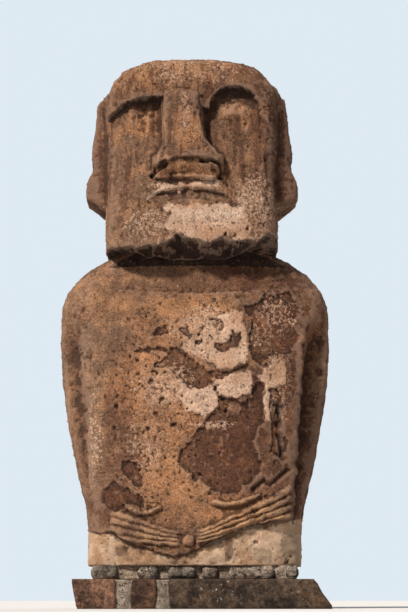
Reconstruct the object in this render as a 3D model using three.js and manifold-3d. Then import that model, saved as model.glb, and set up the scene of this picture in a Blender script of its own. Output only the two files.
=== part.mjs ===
// A moai: one carved stone figure, head and torso in one, on a course of mortared packing stones
// and a low masonry pedestal. Millimetres, +Z up. The figure faces -Y and its left hand is at +X.
// The origin is on the ground, at the middle of the pedestal's underside.

import * as THREE from 'three';
import { mergeVertices } from 'three/addons/utils/BufferGeometryUtils.js';
import Module from 'manifold-3d';

const wasm = await Module();
wasm.setup();

// ---------------------------------------------------------------- driving dimensions
const PEDESTAL_HEIGHT = 280;
const PEDESTAL_HALF_DEPTH = 900;
const PACKING_HEIGHT = 130;
const TORSO_HEIGHT = 3100; // underside to the narrowest part of the neck
const HEAD_HEIGHT = 2000; // neck to crown
const SHOULDER_HALF_WIDTH = 1350;
const FACE_HALF_WIDTH = 855;
const HEAD_SHIFT = -35; // the head sits a little to the figure's right
const CONTACT_GAP = 0.5; // clearance between pieces that touch
const STATUE_BASE = PEDESTAL_HEIGHT + PACKING_HEIGHT;

// ---------------------------------------------------------------- small helpers
const clamp01 = (t) => Math.min(1, Math.max(0, t));

/** Eased step from 0 to 1 as value crosses from low to high. */
function ease(value, low, high) {
  const t = clamp01((value - low) / (high - low));
  return t * t * (3 - 2 * t);
}

/** 1 inside the span from low to high, falling to 0 over the soft margin outside it. */
function within(value, low, high, soft) {
  return ease(value, low - soft, low) * (1 - ease(value, high, high + soft));
}

/** Monotone cubic through values at 0, 1, 2 ...: no overshoot between them. */
function monotoneCurve(values) {
  const steps = values.slice(1).map((value, i) => value - values[i]);
  const slopes = values.map((_, i) => {
    const before = steps[i - 1];
    const after = steps[i];
    if (before === undefined) return after;
    if (after === undefined) return before;
    return before * after > 0 ? (2 * before * after) / (before + after) : 0;
  });
  return (t) => {
    const i = Math.min(steps.length - 1, Math.floor(t));
    const u = t - i;
    const rise = u * u * (3 - 2 * u);
    return values[i] + rise * steps[i]
      + u * (1 - u) * (1 - u) * slopes[i] - u * u * (1 - u) * slopes[i + 1];
  };
}

/** Gentle lumps of worn stone, from -1 to 1, the same for every piece at the same place. */
function lumps(x, y, z, size) {
  const [u, v, w] = [x / size, y / size, z / size];
  return (Math.sin(2.1 * u + 1.3 * Math.sin(1.7 * w) + 0.4)
    + Math.sin(1.9 * v + 1.1 * Math.sin(2.3 * u) + 1.9)
    + Math.sin(2.3 * w + 1.2 * Math.sin(1.5 * v) + 3.1)) / 3;
}

function toSolid(geometry) {
  const plain = geometry.clone();
  plain.deleteAttribute('normal');
  plain.deleteAttribute('uv');
  const merged = mergeVertices(plain, 0.01);
  return new wasm.Manifold(new wasm.Mesh({
    numProp: 3,
    vertProperties: Float32Array.from(merged.attributes.position.array),
    triVerts: Uint32Array.from(merged.index.array),
  }));
}

function toGeometry(solid) {
  const mesh = solid.getMesh();
  const geometry = new THREE.BufferGeometry();
  geometry.setAttribute('position', new THREE.BufferAttribute(mesh.vertProperties, 3));
  geometry.setIndex(new THREE.BufferAttribute(mesh.triVerts, 1));
  geometry.computeVertexNormals();
  return geometry;
}

// ---------------------------------------------------------------- the figure's sections
// Each row is one level section: height, half width, front and back depth, squareness of the
// outline, and how far the section's front droops. Torso rows are shares of TORSO_HEIGHT and
// SHOULDER_HALF_WIDTH, head rows are shares of HEAD_HEIGHT and FACE_HALF_WIDTH.
const TORSO_ROWS = [
  [0.000, 0.773, 0.474, 0.385, 4.5, 0],
  [0.106, 0.778, 0.504, 0.400, 4.2, 0],
  [0.168, 0.790, 0.519, 0.410, 3.8, 0],
  [0.245, 0.832, 0.533, 0.415, 3.2, 0],
  [0.345, 0.886, 0.533, 0.420, 2.8, 0],
  [0.500, 0.950, 0.515, 0.425, 2.6, 0],
  [0.658, 0.994, 0.485, 0.430, 2.5, 0],
  [0.761, 1.000, 0.455, 0.430, 2.5, 0],
  [0.826, 0.994, 0.435, 0.425, 2.5, 0],
  [0.868, 0.967, 0.415, 0.415, 2.6, 0],
  [0.900, 0.925, 0.400, 0.405, 2.5, 0],
  [0.926, 0.875, 0.385, 0.395, 2.5, 0],
  [0.948, 0.815, 0.370, 0.385, 2.5, 0],
  [0.968, 0.745, 0.355, 0.370, 2.6, 0],
  [0.984, 0.665, 0.340, 0.355, 2.8, 0],
  [1.000, 0.600, 0.325, 0.345, 3.2, 0],
];
const HEAD_ROWS = [
  [0.005, 0.970, 0.700, 0.550, 4.0, 0.040],
  [0.010, 1.000, 0.840, 0.560, 4.5, 0.075],
  [0.030, 1.005, 0.872, 0.570, 4.8, 0.060],
  [0.070, 1.005, 0.880, 0.580, 5.0, 0.030],
  [0.150, 1.005, 0.875, 0.590, 5.0, 0],
  [0.300, 1.010, 0.850, 0.590, 5.0, 0],
  [0.450, 1.020, 0.810, 0.590, 5.0, 0],
  [0.600, 1.035, 0.780, 0.585, 5.0, 0],
  [0.700, 1.060, 0.770, 0.575, 4.8, 0],
  [0.780, 1.085, 0.770, 0.560, 4.6, 0],
  [0.830, 1.060, 0.765, 0.540, 4.4, 0],
  [0.870, 0.970, 0.750, 0.510, 4.0, 0],
  [0.910, 0.905, 0.720, 0.470, 3.8, 0],
  [0.945, 0.800, 0.690, 0.420, 3.4, 0],
  [0.975, 0.660, 0.600, 0.340, 3.0, 0],
  [0.9925, 0.460, 0.450, 0.240, 2.6, 0],
  [1.000, 0.220, 0.180, 0.120, 2.2, 0],
];
const JAW_DROOP = 0.07 * FACE_HALF_WIDTH; // the droop at which the chin hangs by the whole sag
const JAW_SAG = 50; // the chin hangs this much lower at its middle than at its sides
const JAW_LIFT = { left: 30, right: 90 }; // and its corners are this much higher again

const sectionRows = [
  ...TORSO_ROWS.map(([level, width, front, back, squareness, droop]) => [
    level * TORSO_HEIGHT, width * SHOULDER_HALF_WIDTH, front * SHOULDER_HALF_WIDTH,
    back * SHOULDER_HALF_WIDTH, squareness, droop * SHOULDER_HALF_WIDTH, 0,
  ]),
  ...HEAD_ROWS.map(([level, width, front, back, squareness, droop]) => [
    TORSO_HEIGHT + level * HEAD_HEIGHT, width * FACE_HALF_WIDTH, front * FACE_HALF_WIDTH,
    back * FACE_HALF_WIDTH, squareness, droop * FACE_HALF_WIDTH, HEAD_SHIFT,
  ]),
];
const column = (k) => monotoneCurve(sectionRows.map((row) => row[k]));
const sectionCurves = {
  height: column(0),
  halfWidth: column(1),
  front: column(2),
  back: column(3),
  squareness: column(4),
  droop: column(5),
  shift: column(6),
};

// ---------------------------------------------------------------- carving, as raised and cut depths
// Lines run from left to right as [x, height], or upwards as [height, reach].
const SLANTED_BROW = [[-900, 4370], [-780, 4455], [-650, 4545], [-510, 4595], [-380, 4605], [-300, 4590]];
const ARCHED_BROW = { middle: 430, halfWidth: 250, low: 4480, rise: 240, fall: 300 };
const BROW_PROJECTION = 80;
const SOCKET = { reach: 360, leftDepth: 22, innerDepth: 28, rightDepth: 50 };
const EYES = [
  { x: -560, height: 4400, reachX: 230, reachHeight: 110, rise: 22 },
  { x: 440, height: 4480, reachX: 190, reachHeight: 105, rise: 45 },
];
const NOSE = {
  root: 4700, tip: 3955, base: 3755, rootRise: 110, tipRise: 195, blockRise: 55, lean: 90,
  wingDrop: 145, sink: 160,
};
const MOUTH = { height: 3685, halfWidth: 520, sag: 125, sink: 14, lip: 34 };
const ARM = { inner: 0.905, outward: 0.07, widest: 260 };
const COLLAR = { height: 2700, sag: 45, step: 18 };
const CROWN_LEFT = [
  [4480, 1600], [4560, 1200], [4630, 970], [4680, 840], [4800, 800], [4900, 720], [4970, 560], [5100, 500],
];
const CROWN_RIGHT = [
  [4480, 1600], [4600, 1200], [4720, 860], [4780, 830], [4810, 740], [4900, 690], [4950, 620],
  [4990, 500], [5100, 470],
];

/** Second coordinate of a line drawn through a few places, read at the first. */
function alongLine(at, line) {
  if (at <= line[0][0]) return line[0][1];
  for (let i = 0; i + 1 < line.length; i++) {
    const [[from, low], [to, high]] = [line[i], line[i + 1]];
    if (at <= to) return low + ((high - low) * (at - from)) / (to - from);
  }
  return line[line.length - 1][1];
}

/** Height of the brow's lower edge: a slant over one eye, a rounder arch over the other. */
function browEdge(x) {
  const slant = alongLine(x, SLANTED_BROW);
  if (x < -100) return slant + (NOSE.root - 20 - slant) * ease(x, -300, -180);
  if (x < 0) return NOSE.root + 25;
  const { middle, halfWidth, low, rise, fall } = ARCHED_BROW;
  const aside = clamp01(Math.abs(x - middle) / halfWidth);
  return low + rise * Math.sqrt(1 - aside ** 2) - fall * ease(x, 660, 860);
}

/** The nose: a broad ridge that rises to its tip, over a lower block with flared wings. */
function noseRise(x, height) {
  if (height > NOSE.root + 200) return -NOSE.sink;
  const raised = (rise, share) => (rise + NOSE.sink) * share - NOSE.sink;
  const down = clamp01((NOSE.root - height) / (NOSE.root - NOSE.tip));
  const aside = Math.abs(x + 90 - 55 * ease(down, 0.4, 1));
  const halfWidth = 235 + 30 * ease(down, 0.3, 0.75) + 105 * ease(down, 0.7, 1);
  const top = NOSE.rootRise + (NOSE.tipRise - NOSE.rootRise) * down - 0.00045 * aside ** 2
    - 50 * ease(height, NOSE.root - 80, NOSE.root + 40);
  const edge = NOSE.tip - NOSE.wingDrop * ease(aside, 100, 360);
  const isTip = ease(height, edge - 30, edge + 15);
  const isUpper = 1 - ease(down, 0.15, 0.55);
  const inner = halfWidth - 75 - isUpper * (x > -90 ? 40 : 0);
  const outer = halfWidth + 15 + isUpper * (x > -90 ? 120 : 25);
  const bridge = raised(top, isTip * (1 - ease(aside, inner, outer)));
  if (height > NOSE.tip + 50) return bridge;
  const foot = NOSE.base + 50 * ease(aside, 280, 400);
  const isBlock = ease(height, foot - 15, foot + 20) * (1 - ease(aside, 330, 400));
  const out = NOSE.blockRise + NOSE.lean * ease(height, NOSE.base, NOSE.tip)
    - 25 * ease(aside, 220, 400);
  return Math.max(bridge, raised(out, isBlock));
}

/** A full upper lip over a sunk band, along an arch that droops at its corners. */
function mouthRise(x, height) {
  const aside = Math.abs(x + 30);
  const off = height - (MOUTH.height - MOUTH.sag * (aside / MOUTH.halfWidth) ** 1.7);
  const along = within(aside, 0, MOUTH.halfWidth * 0.72, MOUTH.halfWidth * 0.35);
  const lip = MOUTH.lip * within(off, 10, 110, 30) * (1 - ease(aside, 220, 440));
  return along * (lip - MOUTH.sink * within(off, -100, -15, 22));
}

/** Brows, eye sockets, eyes, nose and mouth. */
function faceRise(x, height) {
  const below = browEdge(x) - height;
  const side = 1 - 0.6 * ease(Math.abs(x), 720, 900) - 0.35 * ease(-x, 200, 450)
    - 0.38 * ease(x, 20, 220) - 0.2 * ease(x, 560, 720);
  const brow = BROW_PROJECTION * side * (1 - ease(below, -30, 15)) * (1 - ease(height, 4960, 5080));
  const left = SOCKET.leftDepth + SOCKET.innerDepth * within(x, -500, -360, 100);
  const right = SOCKET.rightDepth - 30 * ease(x, 460, 700);
  const deep = x < -100 ? left * within(x, -860, -320, 60) : right * within(x, 140, 660, 80);
  const reach = SOCKET.reach + 220 * (1 - ease(x, 180, 360)) - 140 * ease(x, 450, 700);
  const socket = deep * ease(below, -5, 35) * (1 - ease(below, 50, reach));
  const eyes = EYES.map((eye) => {
    const far = Math.hypot((x - eye.x) / eye.reachX, (height - eye.height) / eye.reachHeight);
    return eye.rise * (1 - ease(far, 0.25, 1.1));
  });
  const surface = brow - socket + eyes[0] + eyes[1];
  return Math.max(surface, noseRise(x, height)) + mouthRise(x, height);
}

/** Torso: the arms lie back from the chest behind a crisp edge, and the chest steps at a collar. */
function torsoRise(x, height) {
  const isRight = x < 0;
  const edge = SHOULDER_HALF_WIDTH * (ARM.inner - 0.215) + ARM.outward * height + (isRight ? 20 : 0);
  const past = Math.abs(x) - edge;
  const step = isRight ? 35 * ease(past, -10, 110) : 45 * ease(past, -10, 30);
  const slope = (isRight ? 0.35 : 1.05) * Math.min(ARM.widest, Math.max(0, past));
  const arm = (step + slope) * ease(height, 250, 750) * (1 - ease(height, 2050, 2500));
  const collar = COLLAR.height - COLLAR.sag * (1 - (x / 700) ** 2);
  const neck = COLLAR.step * ease(height, collar - 10, collar + 20) * (1 - ease(Math.abs(x), 600, 900));
  return -arm - neck;
}

/** Long ears: slabs on the sides of the head that thicken down to the lobes. */
function earThickness(y, height) {
  const reach = ease(y, -460, -330) * (1 - ease(y, 60, 150));
  const upper = 1 - ease(height, 4500, 4800);
  const growth = 60 + 75 * (1 - ease(height, 4100, 4600)) + 70 * (1 - ease(height, 3780, 4000));
  return growth * reach * upper * ease(height, 3480, 3680);
}

// ---------------------------------------------------------------- a point on the figure
/**
 * A point of the figure's skin. level runs through the section rows. turn runs once round the
 * section: 0 at the front, 1 at +X, 2 at the back, 3 at -X.
 */
function skinPoint(level, turn) {
  const section = {};
  for (const key in sectionCurves) section[key] = sectionCurves[key](level);
  const quarter = Math.floor(turn) % 4;
  const share = turn - Math.floor(turn);
  const fromMiddle = quarter % 2 === 0 ? share : 1 - share; // 0 on the Y axis, 1 on the X axis
  const n = section.squareness;
  const diagonal = 0.5 ** (1 / n);
  const along = fromMiddle <= 0.5;
  const near = diagonal * 2 * (along ? fromMiddle : 1 - fromMiddle);
  const far = (1 - near ** n) ** (1 / n);
  const [u, v] = along ? [near, far] : [far, near];
  const signX = quarter < 2 ? 1 : -1;
  const isFront = quarter === 0 || quarter === 3;
  const depth = isFront ? section.front : section.back;
  const point = new THREE.Vector3(
    signX * u * section.halfWidth,
    (isFront ? -1 : 1) * v * depth,
    section.height,
  );
  const normal = new THREE.Vector2(
    signX * u ** (n - 1) / section.halfWidth,
    (isFront ? -1 : 1) * v ** (n - 1) / depth,
  ).normalize();
  if (isFront) {
    point.z -= section.droop * v;
    const lift = (signX < 0 ? JAW_LIFT.left : JAW_LIFT.right) * ease(u, 0.45, 0.85);
    point.z -= (JAW_SAG * (1 - u * u) - lift) * v * (section.droop / JAW_DROOP);
  }
  const facing = ease(-normal.y, 0.25, 0.75);
  const isHead = point.z > TORSO_HEIGHT - 150 && section.shift < HEAD_SHIFT / 2;
  const rise = facing * (isHead ? faceRise(point.x, point.z) : torsoRise(point.x, point.z));
  const sideways = ease(Math.abs(normal.x), 0.6, 0.9);
  const ear = isHead ? sideways * earThickness(point.y, point.z) : 0;
  point.x += normal.x * (rise + ear) + section.shift;
  point.y += normal.y * (rise + ear);
  const wear = 9 * lumps(point.x, point.y, point.z, 210) * ease(point.z, 30, 200);
  point.x += normal.x * wear;
  point.y += normal.y * wear;
  const broken = alongLine(point.z + 0.12 * (point.y + 350), signX > 0 ? CROWN_RIGHT : CROWN_LEFT);
  point.x *= Math.min(1, broken / section.halfWidth);
  return point;
}

/** Closed skin over rings that run from bottom to top, each counter-clockwise seen from above. */
function loft(rings) {
  const around = rings[0].length;
  const points = rings.flat();
  const triangles = [];
  for (let i = 0; i + 1 < rings.length; i++) {
    for (let j = 0; j < around; j++) {
      const next = (j + 1) % around;
      const [a, b] = [i * around + j, i * around + next];
      const [c, d] = [a + around, b + around];
      const rising = points[a].distanceTo(points[d]) <= points[b].distanceTo(points[c]);
      triangles.push(...(rising ? [a, b, d, a, d, c] : [a, b, c, b, d, c]));
    }
  }
  const centre = (ring) => ring.reduce((sum, p) => sum.add(p), new THREE.Vector3())
    .divideScalar(around);
  const last = (rings.length - 1) * around;
  const foot = points.push(centre(rings[0])) - 1;
  const crown = points.push(centre(rings[rings.length - 1])) - 1;
  for (let j = 0; j < around; j++) {
    const next = (j + 1) % around;
    triangles.push(foot, next, j, crown, last + j, last + next);
  }
  const geometry = new THREE.BufferGeometry().setFromPoints(points);
  geometry.setIndex(triangles);
  return geometry;
}

/** Where the rings lie: more of them through the hands, the jaw and the face. */
function ringLevels() {
  const torsoEnd = TORSO_ROWS.length - 1;
  const splits = (k) => {
    if (k < 3) return 3;
    if (k < 6) return 2;
    if (k <= torsoEnd) return 1;
    const share = HEAD_ROWS[k - torsoEnd - 1][0];
    if (share < 0.15 || share > 0.8) return 1;
    return share > 0.2 && share < 0.4 ? 5 : 3;
  };
  const levels = [];
  for (let k = 0; k + 1 < sectionRows.length; k++) {
    for (let i = 0; i < splits(k); i++) levels.push(k + i / splits(k));
  }
  return [...levels, sectionRows.length - 1];
}

/** Where the columns lie: closest on the front, where the face and hands are. */
function columnTurns() {
  const frontParts = 14;
  const sideParts = 3;
  const backParts = 5;
  const quarter = [];
  for (let i = 0; i < frontParts; i++) quarter.push((0.5 * i) / frontParts);
  for (let i = 0; i <= sideParts; i++) quarter.push(0.5 + (0.5 * i) / sideParts);
  const back = [];
  for (let i = 1; i < backParts; i++) back.push(1 + i / backParts);
  const half = [...quarter, ...back];
  return [...half, 2, ...half.slice(1).reverse().map((turn) => 4 - turn)];
}

// ---------------------------------------------------------------- hands, on the figure's belly
const levelOfHeight = (height) => {
  let [low, high] = [0, TORSO_ROWS.length - 1];
  for (let i = 0; i < 30; i++) {
    const middle = (low + high) / 2;
    if (sectionCurves.height(middle) < height) low = middle;
    else high = middle;
  }
  return low;
};

/** The belly's front at a given place, out by the given amount. */
function bellyPoint(x, height, out) {
  const level = levelOfHeight(height);
  const n = sectionCurves.squareness(level);
  const share = Math.abs(x) / sectionCurves.halfWidth(level);
  const y = -sectionCurves.front(level) * (1 - share ** n) ** (1 / n);
  return new THREE.Vector3(x, y - out, height);
}

/** A finger: a round bar that follows the belly through the places given. */
function finger(places, radius) {
  const path = new THREE.CatmullRomCurve3(
    places.map(([x, height]) => bellyPoint(x, height, FINGER_SINK * radius)),
  );
  const section = new THREE.Shape().absarc(0, 0, radius, 0, 2 * Math.PI, false);
  return new THREE.ExtrudeGeometry(section, {
    steps: 5, bevelEnabled: false, extrudePath: path, curveSegments: 4,
  });
}

/** A row of long fingers from a wrist to the navel, with a thumb curling up above them. */
function hand({ wristX, wristHeights, tipX, tipHeights, thumb, radius }) {
  const fingers = wristHeights.map((wristHeight, i) => {
    const places = [0, 0.35, 0.7, 1].map((share) => [
      wristX + (tipX - wristX) * share,
      wristHeight + (tipHeights[i] - wristHeight) * share ** 0.85,
    ]);
    return finger(places, radius);
  });
  return [...fingers, finger(thumb, radius * 0.9)];
}

const FINGER_RADIUS = 29;
const FINGER_SINK = -0.35; // share of the radius that a finger's axis lies under the belly's skin
const HANDS = [
  {
    wristX: -760, wristHeights: [500, 425, 345, 272], tipX: -175, tipHeights: [312, 282, 248, 216],
    thumb: [[-700, 590], [-610, 522], [-480, 500], [-350, 545]], radius: FINGER_RADIUS,
  },
  {
    wristX: 800, wristHeights: [700, 600, 505, 430], tipX: 95, tipHeights: [330, 297, 264, 232],
    thumb: [[620, 668], [470, 602], [320, 572], [190, 592]], radius: FINGER_RADIUS,
  },
];
const NAVEL = { x: -55, height: 232, radius: 52 };

function statueGeometry() {
  const turns = columnTurns();
  const rings = ringLevels().map((level) => turns.map((turn) => skinPoint(level, turn)));
  let body = toSolid(loft(rings));
  for (const spec of HANDS) {
    for (const bar of hand(spec)) body = body.add(toSolid(bar));
  }
  const navel = new THREE.SphereGeometry(NAVEL.radius, 10, 6);
  const at = bellyPoint(NAVEL.x, NAVEL.height, -0.25 * NAVEL.radius);
  navel.translate(at.x, at.y, at.z);
  return toGeometry(body.add(toSolid(navel)));
}

// ---------------------------------------------------------------- stones and mortar
/**
 * A roughly squared stone with rounded corners and flat beds. lean moves the foot of one of its
 * ends outwards: of the +X end if leanEnd is 1, of the -X end if it is -1.
 */
function stoneGeometry({ low, high, corner = 40, lean = 0, leanEnd = 1, parts = [3, 2, 2] }) {
  const half = high.map((value, i) => (value - low[i]) / 2);
  const middle = high.map((value, i) => (value + low[i]) / 2);
  const plain = new THREE.BoxGeometry(2, 2, 2, ...parts);
  plain.deleteAttribute('normal');
  plain.deleteAttribute('uv');
  const geometry = mergeVertices(plain, 1e-4);
  const position = geometry.attributes.position;
  const p = new THREE.Vector3();
  const reach = new THREE.Vector3(...half);
  const inner = reach.clone().subScalar(corner);
  for (let i = 0; i < position.count; i++) {
    p.fromBufferAttribute(position, i).multiply(reach);
    const core = p.clone().clamp(inner.clone().negate(), inner);
    const off = p.clone().sub(core);
    const isBed = reach.z - Math.abs(p.z) < 0.001;
    const bed = p.z;
    p.copy(core).addScaledVector(off, Math.min(1, corner / off.length()));
    p.x -= Math.sign(p.x) * 14 * (1 + lumps(p.y + middle[0], middle[1], p.z, 90));
    p.y -= Math.sign(p.y) * 10 * (1 + lumps(p.x + middle[0], middle[1], p.z, 130));
    if (isBed) p.z = bed;
    const share = Math.max(0, (leanEnd * p.x) / reach.x);
    p.x += leanEnd * lean * share * (0.5 - p.z / (2 * reach.z));
    position.setXYZ(i, p.x + middle[0], p.y + middle[1], p.z + middle[2]);
  }
  return geometry;
}

/** A mortar bed: a slab, cut back from every stone set in it. */
function mortarGeometry(low, high, stones) {
  const size = high.map((value, i) => value - low[i]);
  const slab = new THREE.BoxGeometry(...size);
  slab.translate(...low.map((value, i) => value + size[i] / 2));
  let bed = toSolid(slab);
  for (const stone of stones) {
    stone.computeBoundingBox();
    const centre = stone.boundingBox.getCenter(new THREE.Vector3());
    const span = stone.boundingBox.getSize(new THREE.Vector3());
    const pocket = stone.clone();
    pocket.translate(-centre.x, -centre.y, -centre.z);
    const grow = (length) => (length + 6) / length;
    pocket.scale(grow(span.x), grow(span.y), grow(span.z));
    pocket.translate(centre.x, centre.y, centre.z);
    bed = bed.subtract(toSolid(pocket));
  }
  const loose = bed.decompose().sort((a, b) => b.volume() - a.volume());
  return toGeometry(loose[0]);
}

const TUFF = { color: 0x9b7350, roughness: 0.95, metalness: 0 };
const SCORIA = { color: 0x7b4f3e, roughness: 0.95, metalness: 0 };
const BASALT = { color: 0x59534c, roughness: 0.9, metalness: 0 };
const MORTAR = { color: 0x9a8d7e, roughness: 1, metalness: 0 };

function namedMesh(name, geometry, finish) {
  const mesh = new THREE.Mesh(geometry, new THREE.MeshStandardMaterial(finish));
  mesh.name = name;
  return mesh;
}

/** Front row as seen, then sides and back in plainer stones, round a mortar core. */
function pedestal() {
  const front = -PEDESTAL_HALF_DEPTH;
  const back = PEDESTAL_HALF_DEPTH;
  const frontJoint = -330;
  const backJoint = 330;
  const joint = 60;
  const blocks = [
    {
      name: 'pedestal_front_left', x: [-1205, -730], y: [front, frontJoint], finish: SCORIA,
      lean: -55, leanEnd: -1,
    },
    { name: 'pedestal_front_middle', x: [-620, -345], y: [front + 12, frontJoint], finish: SCORIA },
    {
      name: 'pedestal_front_long', x: [-265, 1180], y: [front, frontJoint], finish: BASALT,
      lean: 185, parts: [6, 2, 2],
    },
    { name: 'pedestal_left', x: [-1130, -560], y: [frontJoint + joint, backJoint - joint], finish: BASALT },
    {
      name: 'pedestal_right', x: [560, 1090], y: [frontJoint + joint, backJoint - joint], finish: SCORIA,
      lean: 140,
    },
    { name: 'pedestal_back_left', x: [-1130, -430], y: [backJoint, back], finish: BASALT },
    { name: 'pedestal_back_middle', x: [-360, 330], y: [backJoint, back], finish: SCORIA },
    { name: 'pedestal_back_right', x: [400, 1090], y: [backJoint, back], finish: BASALT, lean: 140 },
  ].map((block) => ({
    ...block,
    geometry: stoneGeometry({
      low: [block.x[0], block.y[0], 0],
      high: [block.x[1], block.y[1], PEDESTAL_HEIGHT],
      lean: block.lean,
      leanEnd: block.leanEnd,
      parts: block.parts ?? [4, 3, 2],
    }),
  }));
  const mortar = mortarGeometry(
    [-1070, front + 55, 0], [1040, back - 55, PEDESTAL_HEIGHT - 8],
    blocks.map((block) => block.geometry),
  );
  return [
    ...blocks.map((block) => namedMesh(block.name, block.geometry, block.finish)),
    namedMesh('pedestal_mortar', mortar, MORTAR),
  ];
}

/** The packing course: a ring of cobbles bedded in mortar between pedestal and statue. */
function packingCourse() {
  const front = -620;
  const back = 490;
  const deep = 260;
  const bottom = PEDESTAL_HEIGHT + CONTACT_GAP;
  const top = STATUE_BASE - CONTACT_GAP;
  const frontStones = [
    [-1005, -730], [-570, -320], [-275, 30], [50, 255], [300, 785], [860, 1015],
  ].map((x) => ({ x, y: [front, front + deep] }));
  const backStones = [
    [-980, -640], [-560, -260], [-180, 150], [220, 560], [640, 980],
  ].map((x) => ({ x, y: [back - deep, back] }));
  const sideStones = [-1, 1].flatMap((side) => [[-320, -110], [-60, 190]].map((y) => ({
    x: side < 0 ? [-990, -700] : [720, 1000], y,
  })));
  const stones = [
    ...frontStones.map((stone, i) => ({ ...stone, name: `packing_front_${i + 1}` })),
    ...sideStones.map((stone, i) => ({ ...stone, name: `packing_side_${i + 1}` })),
    ...backStones.map((stone, i) => ({ ...stone, name: `packing_back_${i + 1}` })),
  ].map((stone) => ({
    ...stone,
    geometry: stoneGeometry({
      low: [stone.x[0], stone.y[0], bottom],
      high: [stone.x[1], stone.y[1], top],
      corner: 48,
      parts: [2, 2, 2],
    }),
  }));
  const mortar = mortarGeometry(
    [-950, front + 45, bottom], [950, back - 45, top],
    stones.map((stone) => stone.geometry),
  );
  return [
    ...stones.map((stone) => namedMesh(stone.name, stone.geometry, BASALT)),
    namedMesh('packing_mortar', mortar, MORTAR),
  ];
}

const moai = new THREE.Group();
moai.add(...pedestal());
moai.add(...packingCourse());
const statue = namedMesh('statue', statueGeometry(), TUFF);
statue.position.z = STATUE_BASE;
moai.add(statue);

export default moai;
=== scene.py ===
"""A moai on its masonry pedestal: the carved figure, its packing stones and the pedestal course.

The figure is one worn block of volcanic tuff. Its skin is worked out ring by ring from a few
section rows, carved by relief functions, weathered, and thinned where it is plain. Metres, +Z up,
and the figure faces -Y.
"""

import sys

import logging
import math
from dataclasses import dataclass
from enum import Enum

import bpy
import numpy as np
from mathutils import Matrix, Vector


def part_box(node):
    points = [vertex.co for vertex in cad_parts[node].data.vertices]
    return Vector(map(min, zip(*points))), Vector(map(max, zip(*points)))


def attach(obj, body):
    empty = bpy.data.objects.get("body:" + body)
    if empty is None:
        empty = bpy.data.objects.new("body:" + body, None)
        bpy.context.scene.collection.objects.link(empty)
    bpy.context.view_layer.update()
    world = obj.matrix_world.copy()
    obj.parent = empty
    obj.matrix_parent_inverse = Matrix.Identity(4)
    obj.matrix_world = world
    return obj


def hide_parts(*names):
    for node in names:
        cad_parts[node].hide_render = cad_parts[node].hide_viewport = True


log = logging.getLogger("moai")

Array = np.ndarray
Point = tuple[float, float]
Outline = tuple[Point, ...]
Colour = tuple[float, float, float]
Piece = bpy.types.Object
Mesh = bpy.types.Mesh
Material = bpy.types.Material
Tree = bpy.types.NodeTree
Node = bpy.types.Node
Socket = bpy.types.NodeSocket


# --- plain mathematics
def smooth(value: Array | float, low: float | Array, high: float | Array) -> Array:
    """Eased step.

    Args:
        value: The numbers to judge.
        low: Where the step begins.
        high: Where the step is complete.

    Returns:
        0 at low, 1 at high, eased between.
    """
    t = np.clip((value - low) / (high - low), 0.0, 1.0)
    return t * t * (3.0 - 2.0 * t)


def within(value: Array, low: float, high: float, soft: float) -> Array:
    """1 between low and high, falling to 0 over the soft margin outside them."""
    return smooth(value, low - soft, low) * (1.0 - smooth(value, high, high + soft))


def monotone_curve(values: list[float], at: Array) -> Array:
    """Monotone cubic through values that stand at 0, 1, 2 and so on.

    Args:
        values: The numbers to pass through.
        at: Where to read the curve.

    Returns:
        The curve's values, with no overshoot between two rows.
    """
    heights = np.asarray(values, dtype=float)
    steps = np.diff(heights)
    slopes = np.empty(len(heights))
    slopes[0] = steps[0]
    slopes[-1] = steps[-1]
    product = steps[:-1] * steps[1:]
    total = np.where(steps[:-1] + steps[1:] == 0.0, 1.0, steps[:-1] + steps[1:])
    slopes[1:-1] = np.where(product > 0.0, 2.0 * product / total, 0.0)
    i = np.minimum(len(steps) - 1, np.floor(at).astype(int))
    u = at - i
    bend = u * (1.0 - u) * ((1.0 - u) * slopes[i] - u * slopes[i + 1])
    return heights[i] + u * u * (3.0 - 2.0 * u) * steps[i] + bend


def along_line(x: Array, line: Outline) -> Array:
    """Height of a line drawn through a few places from left to right, read at x."""
    return np.interp(x, [p[0] for p in line], [p[1] for p in line])


def stroke_distance(x: Array, height: Array, line: Outline) -> Array:
    """Distance from each place to a chain of straight strokes.

    Args:
        x: Places across.
        height: Places up.
        line: The chain's corners.

    Returns:
        The nearest distance, in metres.
    """
    best = np.full(np.shape(x), np.inf)
    for (ax, ah), (bx, bh) in zip(line[:-1], line[1:]):
        ex, eh = bx - ax, bh - ah
        share = np.clip(((x - ax) * ex + (height - ah) * eh) / (ex * ex + eh * eh), 0.0, 1.0)
        best = np.minimum(best, np.hypot(x - ax - share * ex, height - ah - share * eh))
    return best


def patch_depth(x: Array, height: Array, outline: Outline) -> Array:
    """How far inside a closed outline each place lies.

    Args:
        x: Places across.
        height: Places up.
        outline: The outline's corners.

    Returns:
        The distance to the outline, negative outside it.
    """
    inside = np.zeros(np.shape(x), dtype=bool)
    closed = (*outline, outline[0])
    for (ax, ah), (bx, bh) in zip(closed[:-1], closed[1:]):
        if ah == bh:
            continue
        crosses = (ah > height) != (bh > height)
        inside ^= crosses & (x < ax + (height - ah) * (bx - ax) / (bh - ah))
    distance = stroke_distance(x, height, closed)
    return np.where(inside, distance, -distance)


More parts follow.
